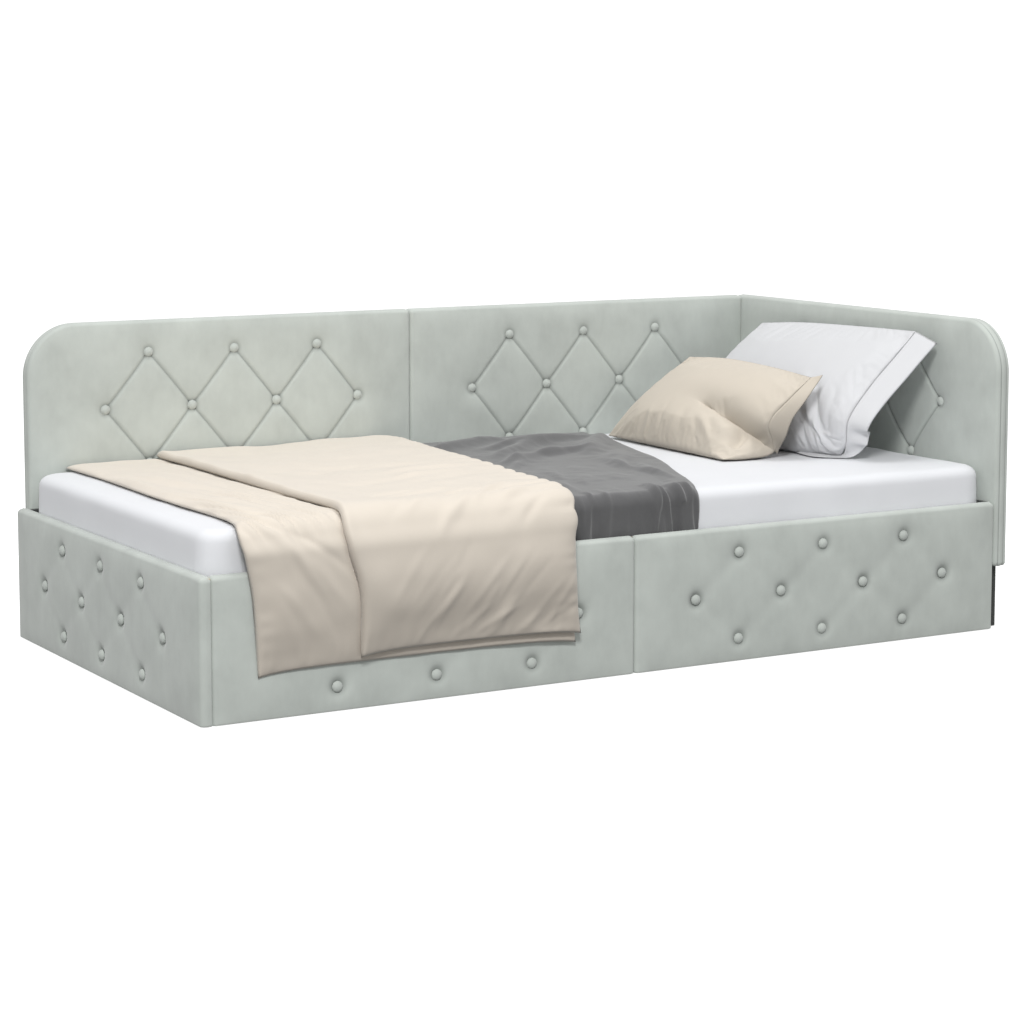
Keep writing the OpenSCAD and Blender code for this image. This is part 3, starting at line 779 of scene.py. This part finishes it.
def build_mattress():
    """A foam core in a cloth cover, under a fitted sheet with a tucked hem, which swells out over
    the rails."""
    under = (0.45, 0.3, 0.15, 0.05, 0.03)
    over = (0.05, 0.15, 0.3, 0.45)
    core = box_levels(mattress_low.z, mattress_high.z - 2 * MM, 16 * MM, 24 * MM, under, over)
    core = [(inset + 1.5 * MM, z) for inset, z in core]
    piece = rings_piece("mattress_core", mattress_low, mattress_high, core, (True, True), "mattress",
                        "mattress_cloth")
    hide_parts("mattress")

    over = (0.04, 0.06, 0.09, 0.13, 0.18, 0.24, 0.3, 0.36, 0.42, 0.48)
    hem = (0.11, 0.08, 0.05, 0.03)
    skin = box_levels(mattress_low.z - SHEET_GAP, SHEET_TOP - SLIGHT, 16 * MM, 27 * MM, hem, over)
    sheet = rings_piece("stretched_sheet", sheet_low, sheet_high, skin, (False, True), "mattress",
                        "sheet_cotton")
    points, facing = coordinates(sheet.data), normals(sheet.data)
    # Broad pulls all over, and finer upright ones on the sides
    pull = noise_at(points, (0.10, 0.10, 0.30), 3.1) * 2.4 * MM
    crisp = noise_at(points, (0.03, 0.03, 0.12), 7.7) * 1.6 * MM
    side = smooth(0.5, 0.9, 1 - np.abs(facing[:, 2]))
    points += facing * (pull * 0.7 + crisp * side - 0.4 * MM)[:, None]
    above = smooth(rail_high.z - 100 * MM, rail_high.z - 14 * MM, points[:, 2])
    sides = ((0, 1, sheet_high.x, 70 * MM, 11 * MM), (0, -1, sheet_low.x, 70 * MM, 14 * MM),
             (1, 1, sheet_high.y, 60 * MM, 11 * MM), (1, -1, sheet_low.y, 60 * MM, 8 * MM))
    for axis, sign, edge, reach, swell in sides:
        bare = 1
        if (axis, sign) == (1, -1):     # The throw and the duvet hold the front in
            bare = smooth(throw_high.x, throw_high.x + 60 * MM, points[:, 0])
        near = smooth(sign * edge - reach, sign * edge, sign * points[:, axis])
        points[:, axis] += sign * above * bare * swell * near
    set_coordinates(sheet.data, points)
    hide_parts("fitted_sheet")


# ---- Duvet and throw: layers that lie on the mattress and hang over its front ---------

class Bend:
    """Turns (x, s, height) into a place: s runs up the drop, round the bend and back along the top."""

    def __init__(self, middle_y, middle_z, radius):
        """A bend about a line along X, a little longer than its arc because cloth lies over it."""
        self.y, self.z, self.radius = middle_y, middle_z, radius
        self.length = radius * math.pi / 2 + 20 * MM

    def place(self, x, s, height):
        """The place of x and s at a height off the lowest layer."""
        angle = np.clip(s / self.length, 0, 1) * math.pi / 2
        reach = self.radius + height
        y = self.y - reach * np.cos(angle) + np.maximum(s - self.length, 0)
        z = self.z + reach * np.sin(angle) + np.minimum(s, 0)
        return np.stack([x, y, z], -1)

    def from_y(self, y):
        """The s of a place on top."""
        return y - self.y + self.length

    def from_z(self, z):
        """The s of a place on the drop."""
        return z - self.z


def eased(count, share):
    """Steps from 0 to 1 that are finer at both ends; share is how much."""
    even = np.linspace(0, 1, count)
    return share * (0.5 - 0.5 * np.cos(math.pi * even)) + (1 - share) * even


def layer_grid(left, right, low_s, high_s):
    """The share of the way across from left(s) to right(s), and s up from the hem, each as a grid."""
    rows = int((high_s - low_s) / CLOTH_STEP)
    columns = int((right(np.array([high_s]))[0] - left(np.array([high_s]))[0]) / CLOTH_STEP)
    return np.meshgrid(eased(columns, 0.25), low_s + (high_s - low_s) * eased(rows, 0.15))


def rounded_edge(distance, width):
    """0 at the edge, rising along a quarter circle to 1 at that width."""
    t = np.clip(distance / width, 0, 1)
    return np.sqrt(np.maximum(1 - (1 - t) ** 2, 0))


def frame_x(design_mm):
    """X in the frame of a distance along the bed from the foot panel's outer face."""
    return FOOT_X + design_mm * MM


def gathers(along, inward, seed, pitch, length, depth):
    """Height of short pleats square to a seam: along is the place on it, inward the way off it."""
    sway = noise_over(along / pitch, np.zeros(along.shape), 2.0, level=seed)
    waves = np.cos(2 * math.pi * along / pitch + 7 * sway)
    strength = 0.6 + 0.8 * noise_over(along, np.full(along.shape, seed), 2.3 * pitch)
    return depth * waves * strength * np.exp(-inward / length)


def scallop(s):
    """0 at each gather of the duvet's right seam, and 1 midway between them."""
    return np.abs(np.sin(math.pi * (s + 20 * MM) / (62 * MM)))


def build_duvet():
    """A padded duvet folded over on itself: a lower layer, and an upper one that covers its right part.
    Both hang over the front. X runs along the bed and s up the drop and back along the top."""
    layer = (duvet_high.z - throw_high.z - 1.4 * MM) / 2
    soft = 60 * MM              # Radius of the bend over the mattress's edge
    bend = Bend(duvet_low.y + 2 * layer + soft, duvet_high.z - 2 * layer - soft, soft)
    back = bend.from_y(duvet_high.y - 7 * MM)
    front_right, back_right = frame_x(868), duvet_high.x

    def right_edge(s):
        """The right seam bows out a little, is scalloped between its gathers, and turns in at the back."""
        t = np.clip(s / back, -0.4, 1)
        line = front_right + (back_right - front_right) * np.maximum(t, 0) ** 0.93
        line = line + 16 * MM * smooth(0.02, 0.30, -s) ** 1.5
        line = line - 75 * MM * np.exp(-(back - s) / (45 * MM))
        return line + 9 * MM * scallop(s) * smooth(-0.05, 0.05, s) * (1 - smooth(0.45, 0.75, s))

    def lower_left(s):
        """Drawn in where it bends, and flaring towards the hem."""
        waist = 22 * MM * bell(s - 50 * MM, 90 * MM)
        return frame_x(112) - waist + 13 * MM * smooth(0, 0.28, -s) + 3 * MM * np.sin(s * 9)

    def upper_left(s):
        """The fold's line, drawn in and flaring likewise."""
        waist = 24 * MM * bell(s - 30 * MM, 80 * MM)
        return frame_x(341) - waist + 11 * MM * smooth(0, 0.24, -s) + 3 * MM * np.sin(s * 8 + 1)

    def build(name, left, right, hem, under, fold, shape):
        """One layer, from its left and right edges, its hem's height and what lies under it. The
        upper layer's left edge is a fold, so it is fuller there."""
        across, s = layer_grid(left, right, bend.from_z(hem), back)
        x = left(s) + (right(s) - left(s)) * across
        off_left, off_right = x - left(s), right(s) - x
        off_hem, off_back = s - s.min(), s.max() - s
        fullness = rounded_edge(off_left, 13 * MM if fold else 34 * MM) * rounded_edge(off_right, 26 * MM)
        fullness = fullness * rounded_edge(off_hem, 60 * MM) * rounded_edge(off_back, 30 * MM)
        inner = np.minimum.reduce([off_left, off_right, off_hem, off_back])
        relief = shape(x, s, off_left, off_right, off_hem) * smooth(0, 18 * MM, inner)
        loft = 4.5 * MM * noise_over(x, s, 0.17, 1.7, under) + 2.2 * MM * noise_over(x, s, 0.06, 4.2, under)
        rise = layer * fullness * (1 + (0.55 * np.exp(-off_left / (30 * MM)) if fold else 0))
        # It settles onto the sheet where no throw lies under it, its hem stands off the rail towards
        # the right corner, and its drop swells out between the bend and the hem
        settle = -6.4 * MM * (1 - smooth(frame_x(600), frame_x(790), x)) * smooth(0, 40 * MM, s)
        flare = 6 * MM * np.exp(-off_hem / (45 * MM)) * smooth(frame_x(560), frame_x(860), x)
        swell = 14 * MM * np.sin(math.pi * np.clip(off_hem / (50 * MM - s.min()), 0, 1)) ** 2
        swell = swell * rounded_edge(off_left, 60 * MM) * rounded_edge(off_right, 60 * MM)
        seam = under + settle + flare + swell * (1.6 if fold else 1) + 0.35 * layer
        top = seam + 0.65 * rise + (relief + loft) * fullness
        bottom = seam - 0.35 * rise
        top = np.maximum(top, bottom + 1.2 * MM * fullness)     # Never thinner than its two cloths
        s = s + hem_rise(off_left, off_right, off_hem)
        return two_sided(name, bend.place(x, s, top), bend.place(x, s, bottom), "duvet", "duvet_cotton")

    def hem_rise(off_left, off_right, off_hem):
        """Between its pointed corners the hem is drawn up a little."""
        drawn = 11 * MM * (1 - np.exp(-off_left / (50 * MM))) * (1 - np.exp(-off_right / (60 * MM)))
        return drawn * np.exp(-off_hem / (110 * MM))

    def lower_relief(x, s, off_left, off_right, off_hem):
        """Creases that spread like a fan over the top from a point far below the hem, and a few that
        cross them. The cloth is pressed down where the upper layer begins."""
        u = x - FOOT_X
        lines = scattered(12, 9, (0.25, -0.10), (0.08, 0.11), -52, 18, 0.15, 0.009, 3.6 * MM)
        lines += scattered(13, 6, (0.22, 0.60), (0.09, 0.20), -78, 12, 0.22, 0.016, 4.0 * MM)
        height = creases(u, s, lines)
        sway = noise_over(x, s, (0.05, 0.30, 1.0), 8.8)
        spoke = np.arctan2(u - 449 * MM, s + 790 * MM) / 0.032
        fan = 2 * np.abs(np.sin(math.pi * spoke + 1.6 * sway)) - 1.2
        strength = 0.55 + 0.9 * noise_over(x, s, (0.06, 0.22, 1.0), 5.5)
        height += 8.0 * MM * fan * strength * smooth(0.00, 0.13, s) * (1 - smooth(0.36, 0.62, s))
        height -= 4 * MM * (1 - smooth(-4 * MM, 12 * MM, upper_left(s) - x))
        height += gathers(s, off_left, 1.0, 38 * MM, 16 * MM, 2.2 * MM)
        return height + gathers(x, off_hem, 2.0, 33 * MM, 30 * MM, 2.6 * MM)

    def upper_relief(x, s, off_left, off_right, off_hem):
        """Slanting creases on the drop and the bend, broad ones on top, and hollows at the right seam."""
        u = x - FOOT_X
        lines = scattered(21, 18, (0.66, 0.13), (0.20, 0.08), 30, 14, 0.13, 0.009, 5.0 * MM)
        lines += scattered(22, 30, (0.62, -0.17), (0.22, 0.12), 54, 10, 0.12, 0.0075, 2.2 * MM)
        lines += scattered(23, 8, (0.60, 0.50), (0.22, 0.30), 8, 16, 0.26, 0.022, 6.0 * MM)
        lines += scattered(24, 10, (0.76, -0.21), (0.10, 0.05), 50, 20, 0.10, 0.009, 3.6 * MM)
        height = creases(u, s, lines)
        front = smooth(-0.02, 0.06, s) * (1 - smooth(0.5, 0.8, s))
        height -= 9 * MM * (1 - scallop(s)) * front * np.exp(-off_right / (42 * MM))
        height += gathers(s, off_right, 3.0, 41 * MM, 22 * MM, 2.2 * MM)
        return height + gathers(x, off_hem, 4.0, 37 * MM, 30 * MM, 2.8 * MM)

    lower = build("duvet_lower_layer", lower_left, lambda s: right_edge(s) - 6 * MM, duvet_low.z, 0.0,
                  False, lower_relief)
    upper = build("duvet_upper_layer", upper_left, right_edge, duvet_low.z + 22 * MM, layer,
                  True, upper_relief)
    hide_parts("duvet")


def build_throw():
    """A throw laid across the bed, in folds where the duvet leaves it bare, with its front end tucked
    behind the rail."""
    bend = Bend(throw_low.y + 31.7 * MM, throw_high.z - 31.7 * MM, 26.7 * MM)
    back = bend.from_y(throw_high.y)

    def left_edge(s):
        """Straight, under the duvet."""
        return np.full(np.shape(s), throw_low.x)

    def right_edge(s):
        """Square to the front on the drop, then running away towards the head on top."""
        t = np.clip((s - 0.05) / (back - 0.05), 0, 1)
        front = frame_x(1232)
        return front + (throw_high.x - front) * t * (1.6 - 0.6 * t) + 2.5 * MM * np.sin(s * 17)

    across, s = layer_grid(left_edge, right_edge, bend.from_z(throw_low.z), back)
    x = left_edge(s) + (right_edge(s) - left_edge(s)) * across
    u = x - FOOT_X
    off_right, off_back = right_edge(s) - x, back - s
    duvet_edge = frame_x(872) + 112 * MM * np.clip(s / back, 0, 1)
    shown = smooth(15 * MM, 60 * MM, x - duvet_edge)
    # Broad folds on top, as (middle, degrees, length, width, height), and finer ones among them
    lines = [((1.12, 0.93), 24, 0.30, 0.030, 19 * MM), ((1.20, 0.80), 38, 0.30, 0.022, 15 * MM),
             ((1.32, 0.90), 14, 0.34, 0.026, 19 * MM), ((1.43, 0.80), 52, 0.36, 0.028, 17 * MM),
             ((1.16, 0.66), 30, 0.26, 0.020, 13 * MM), ((1.34, 0.55), 60, 0.30, 0.026, 10 * MM),
             ((1.27, 0.70), 20, 0.18, 0.014, 12 * MM), ((1.08, 0.60), 62, 0.20, 0.018, 10 * MM)]
    lines += scattered(31, 16, (1.16, 0.30), (0.16, 0.25), 70, 25, 0.22, 0.014, 7.0 * MM)
    height = creases(u, s, lines) * (0.35 + 0.65 * smooth(0.02, 0.15, s))
    # Upright folds on the drop
    folds = scattered(32, 20, (1.06, -0.02), (0.17, 0.04), 88, 12, 0.26, 0.0080, 8.0 * MM)
    folds += [((1.185, 0.0), 100, 0.34, 0.013, 8 * MM), ((1.215, 0.03), 104, 0.30, 0.011, 7 * MM)]
    height += creases(u, s, folds) * (1 - smooth(0.05, 0.2, s))
    height += 4 * MM * noise_over(x, s, 0.12, 9.1) + 1.2 * MM * noise_over(x, s, 0.03, 2.2)
    height = (0.5 * height + 0.5 * np.maximum(height, 0) + 1 * MM) * shown * rounded_edge(off_right, 22 * MM)
    height = np.maximum(height, 0)
    height += 1.5 * MM * np.exp(-off_back / (40 * MM)) * shown
    height = np.where(s < 0, np.minimum(height, 10 * MM), height)
    under = 0.4 * MM + 0.75 * height
    inner = np.minimum.reduce([off_right, off_back, s - s.min(), x - x.min()])
    cloth = 3.6 * MM * rounded_edge(inner, 6 * MM)
    piece = two_sided("fleece_throw", bend.place(x, s, under + cloth + 0.25 * height),
                      bend.place(x, s, under), "throw_blanket", "throw_cloth")
    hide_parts("throw_blanket")


# ---- Pillow and cushion --------------------------------------------------------------

CASE_GRID = ((92, 140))       # Rows and columns of a stuffed case


def patch(bottom, top, near, far, a, b):
    """A sheet of points between four curves, given as points in order. The two side curves
    only shape their own end."""
    a1, b1 = a[..., None], b[..., None]
    sheet = (1 - b1) * curve_through(bottom, a) + b1 * curve_through(top, a)
    for side, weight, k in ((near, (1 - a1) ** 3, 0), (far, a1 ** 3, -1)):
        straight = (1 - b1) * np.asarray(bottom[k], float) + b1 * np.asarray(top[k], float)
        sheet = sheet + weight * (curve_through(side, b) - straight)
    return sheet


def facing(points):
    """The way a grid of points faces, at each point."""
    across, up = np.gradient(points, axis=1), np.gradient(points, axis=0)
    normal = np.cross(up, across)
    return normal / np.linalg.norm(normal, axis=-1, keepdims=True)


def stuffed_case(name, body, slot, curves, size, share, relief):
    """A stuffed case between four seams, of a (thickness, length, width); share is how much of it
    swells to the front."""
    rows, columns = CASE_GRID
    a, b = np.meshgrid(eased(columns, 0.35), eased(rows, 0.35))
    middle = patch(*curves, a, b) * MM
    normal = facing(middle)
    # Fullest a little below the middle, and flatter towards the far end
    full = (4 * a * (1 - a)) ** 0.55 * b ** 0.45 * (1 - b) ** 0.8 * 1.75 * (1 - 0.45 * a ** 3)
    thickness, length, width = size
    height = relief(a * length, b * width, width)
    rise = thickness * full
    front = middle + normal * (rise * share + height * np.minimum(1, full * 3))[..., None]
    behind = middle - normal * (rise * (1 - share))[..., None]
    return two_sided(name, front, behind, body, slot)


def loosen(piece, slack):
    """Lets a stuffed case's cloth, a little larger than its stuffing, wrinkle between its seams."""
    border = np.zeros(CASE_GRID)
    border[[0, -1], :] = border[:, [0, -1]] = 1
    held = np.zeros(len(piece.data.vertices))
    held[:border.size] = border.ravel()
    simulate(piece, held, slack, LARGEST_MOVE)


def flange(name, body, slot, inner, outer, ripple):
    """A flat, double hem that stands out from a case's end, between two curves."""
    rows, columns = 90, 14
    across, up = np.meshgrid(np.linspace(0, 1, columns), np.linspace(0, 1, rows))
    low, high = (curve_through(curve, up[:, 0])[:, None] * MM for curve in (inner, outer))
    middle = low + (high - low) * across[..., None]
    normal = facing(middle)
    middle = middle + normal * ripple(across, up)[..., None]
    edge = rounded_edge(across, 0.1) * rounded_edge(1 - across, 0.1)
    edge = edge * rounded_edge(np.minimum(up, 1 - up), 0.02)
    stitch = bell(across - 0.14, 0.05)
    half = (1.5 * edge - 0.6 * stitch) * MM
    return two_sided(name, middle + normal * half[..., None], middle - normal * half[..., None], body, slot)


def frame_points(points):
    """Points in millimetres from the foot panel's face, the front rail's face and the sheet's top."""
    return [(x + FOOT_X / MM, y + FRONT_Y / MM, SHEET_TOP / MM + z) for x, y, z in points]


def in_metres(lines):
    """Creases given in millimetres, in the script's metres."""
    return [((a * MM, b * MM), degrees, length * MM, width * MM, rise * MM)
            for (a, b), degrees, length, width, rise in lines]


def rest_on_sheet(piece):
    """Keeps every point above the sheet, flat where the piece lies on it."""
    points = coordinates(piece.data)
    floor, soft = SHEET_TOP + SHEET_GAP, 6 * MM
    low = points[:, 2] < floor + soft
    points[low, 2] = floor + soft * np.exp((points[low, 2] - floor - soft) / soft)
    set_coordinates(piece.data, points)


def build_pillow():
    """A white pillow that leans on the head panel; its case has a flange at the near end."""
    seam = frame_points([(1838, 312, 8), (1824, 278, 42), (1820, 262, 104),
                         (1888, 262, 184), (1958, 262, 248), (2022, 264, 307)])
    bottom = [seam[0]] + frame_points([(1790, 420, 6), (1772, 600, 6), (1768, 935, 7)])
    top = [seam[-1]] + frame_points([(2027, 500, 303), (2029, 740, 296), (2022, 912, 283)])
    far = [bottom[-1]] + frame_points([(1850, 958, 96), (1940, 955, 190)]) + [top[-1]]

    def relief(u, v, width):
        """Slanting folds across the low near corner, and pleats at the seams."""
        lines = [((210, 120), 30, 190, 20, -9), ((170, 140), 32, 150, 18, 8), ((120, 135), 46, 110, 13, -7),
                 ((90, 80), 62, 80, 10, 6), ((250, 90), 14, 140, 18, 7), ((60, 150), 75, 80, 9, -4)]
        lines = in_metres(lines)
        lines += scattered(41, 14, (0.12, 0.08), (0.10, 0.06), 60, 30, 0.12, 0.011, 3.0 * MM)
        return creases(u, v, lines) + gathers(v, u, 5.0, 30 * MM, 16 * MM, 1.2 * MM)

    piece = stuffed_case("pillow_case", "pillow", "pillow_cotton", (bottom, top, seam, far),
                         (150 * MM, 660 * MM, 370 * MM), 0.55, relief)
    loosen(piece, slack=0.012)
    rest_on_sheet(piece)
    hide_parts("pillow")
    inner = [Vector(p) for p in curve_through(bottom, np.array([0.34, 0.17]))] + seam
    edge = frame_points([(1784, 426, 4), (1778, 336, 3), (1836, 280, 3), (1860, 240, 40),
                         (1838, 206, 84), (1880, 200, 142), (1960, 197, 214), (2037, 198, 282)])

    def ripple(across, up):
        """Two kinks where the hem turns up off the sheet, and slight waves."""
        kinks = 15 * bell(up - 0.50, 0.028) - 10 * bell(up - 0.445, 0.032)
        return (kinks + 1.6 * np.sin(up * 19)) * MM * across

    hem = flange("pillow_flange", "pillow", "pillow_cotton", inner, edge, ripple)
    rest_on_sheet(hem)


def build_cushion():
    """A smaller cushion in front of the pillow, with a dent across its low near corner."""
    seam = frame_points([(1539, 388, 7), (1612, 378, 10), (1684, 384, 22),
                         (1650, 356, 92), (1708, 347, 152), (1772, 352, 198)])
    bottom = [seam[0]] + frame_points([(1542, 560, 6), (1546, 740, 6), (1550, 928, 7)])
    top = [seam[-1]] + frame_points([(1786, 540, 208), (1794, 740, 212), (1784, 902, 204)])
    far = [bottom[-1]] + frame_points([(1620, 930, 74), (1706, 925, 140)]) + [top[-1]]

    def relief(u, v, width):
        """A dent with folds round it, and pleats at the seams."""
        lines = [((120, 112), 14, 80, 20, -14), ((190, 138), 10, 60, 24, -9), ((44, 66), 58, 70, 13, -15),
                 ((104, 72), 25, 90, 26, 12), ((150, 60), 30, 90, 10, 4), ((130, 42), 22, 90, 9, 3),
                 ((230, 52), 70, 70, 13, -3)]
        lines = in_metres(lines)
        lines += scattered(51, 14, (0.26, 0.04), (0.22, 0.03), 92, 14, 0.07, 0.008, 1.2 * MM)
        height = creases(u, v, lines) + gathers(u, v, 7.0, 27 * MM, 26 * MM, 1.0 * MM)
        return height + gathers(u, width - v, 8.0, 38 * MM, 14 * MM, 0.6 * MM)

    piece = stuffed_case("cushion_case", "cushion", "cushion_cotton", (bottom, top, seam, far),
                         (128 * MM, 540 * MM, 320 * MM), 0.62, relief)
    loosen(piece, slack=0.014)
    rest_on_sheet(piece)
    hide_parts("cushion")
    edge = frame_points([(1706, 398, 8), (1700, 360, 50), (1706, 332, 104),
                         (1748, 324, 158), (1790, 330, 206)])
    inner = [Vector(p) for p in curve_through(seam, np.linspace(0.4, 1, 8))]
    hem = flange("cushion_flange", "cushion", "cushion_cotton", inner, edge,
                 lambda across, up: 2.5 * MM * np.sin(up * 15) * across)
    rest_on_sheet(hem)


# ---- Camera, light and floor ---------------------------------------------------------

def add_camera():
    """A long lens from the foot end's front corner, a little above the tall panels."""
    camera = bpy.data.objects.new("camera", bpy.data.cameras.new("camera"))
    scene.collection.objects.link(camera)
    down, aside = math.radians(6.47), math.radians(30.02)   # From level, and from square to the rails
    camera.data.sensor_width = 36
    camera.data.lens = 92.83
    camera.data.shift_y = -0.1
    # The place is in metres from the foot panel's face, the front rail's face and the floor
    camera.location = (FOOT_X - 2.0712, FRONT_Y - 4.8387, 1.2418)
    camera.rotation_euler = (math.pi / 2 - down, 0, -aside)
    scene.camera = camera


def add_light(name, place, target, size, power):
    """A round soft light that faces its target."""
    light = bpy.data.lights.new(name, "AREA")
    light.shape = "DISK"
    light.size = size
    light.energy = power
    holder = bpy.data.objects.new(name, light)
    holder.location = place
    holder.rotation_euler = (Vector(target) - Vector(place)).to_track_quat("-Z", "Y").to_euler()
    scene.collection.objects.link(holder)


def add_world(ground, sky):
    """An even sky over a dim ground."""
    world = bpy.data.worlds.new("studio")
    scene.world = world
    world.use_nodes = True
    nodes, links = world.node_tree.nodes, world.node_tree.links
    place = nodes.new("ShaderNodeTexCoord")
    split = nodes.new("ShaderNodeSeparateXYZ")
    height = nodes.new("ShaderNodeMapRange")
    links.new(place.outputs["Generated"], split.inputs["Vector"])
    links.new(split.outputs["Z"], height.inputs["Value"])
    for name, value in (("From Min", -0.12), ("From Max", 0.12), ("To Min", ground), ("To Max", sky)):
        height.inputs[name].default_value = value
    links.new(height.outputs["Result"], nodes["Background"].inputs["Strength"])
    nodes["Background"].inputs["Color"].default_value = (1.0, 1.0, 1.0, 1)


def add_floor():
    """A pale floor that curves up into a wall all round, far from the bed."""
    material = bpy.data.materials.new("pale_floor")
    material.use_nodes = True
    shader = material.node_tree.nodes["Principled BSDF"]
    shader.inputs["Base Color"].default_value = (0.60, 0.60, 0.60, 1)
    shader.inputs["Roughness"].default_value = 1.0
    shader.inputs["Specular IOR Level"].default_value = 0.0
    shader.inputs["Emission Color"].default_value = (1, 1, 1, 1)
    shader.inputs["Emission Strength"].default_value = 0.75
    flat, bend, top, turns = 15.0, 4.0, 12.0, 72
    section = [(0.01, 0.0), (flat, 0.0)]
    section += [(flat + bend * math.sin(a), bend * (1 - math.cos(a)))
                for a in np.radians(np.arange(10, 91, 10))]
    section += [(flat + bend, top)]
    angles = [2 * math.pi * k / turns for k in range(turns)]
    points = [(r * math.cos(a), r * math.sin(a), z) for r, z in section for a in angles]
    faces = [(m + k, m + (k + 1) % turns, m + turns + (k + 1) % turns, m + turns + k)
             for m in range(0, (len(section) - 1) * turns, turns) for k in range(turns)]
    faces.append(tuple(range(turns)))
    mesh = bpy.data.meshes.new("floor")
    mesh.from_pydata(points, [], faces)
    mesh.shade_smooth()
    floor = bpy.data.objects.new("floor", mesh)
    floor.data.materials.append(material)
    scene.collection.objects.link(floor)
    floor.visible_diffuse = False
    floor.visible_glossy = False


def add_studio():
    """An even sky, one large key light from the front, and a weak one overhead."""
    scene.view_settings.view_transform = "Standard"
    add_world(0.34, 0.66)
    add_light("key", (-3.3, -5.3, 5.2), (0, 0, 0.3), 1.6, 320)
    add_light("top", (0.6, 0.0, 5.0), (0, 0, 0), 2.0, 60)
    add_floor()


add_camera()
add_studio()
dress_cad_nodes()
build_panels()
build_mattress()
build_duvet()
build_throw()
build_pillow()
build_cushion()
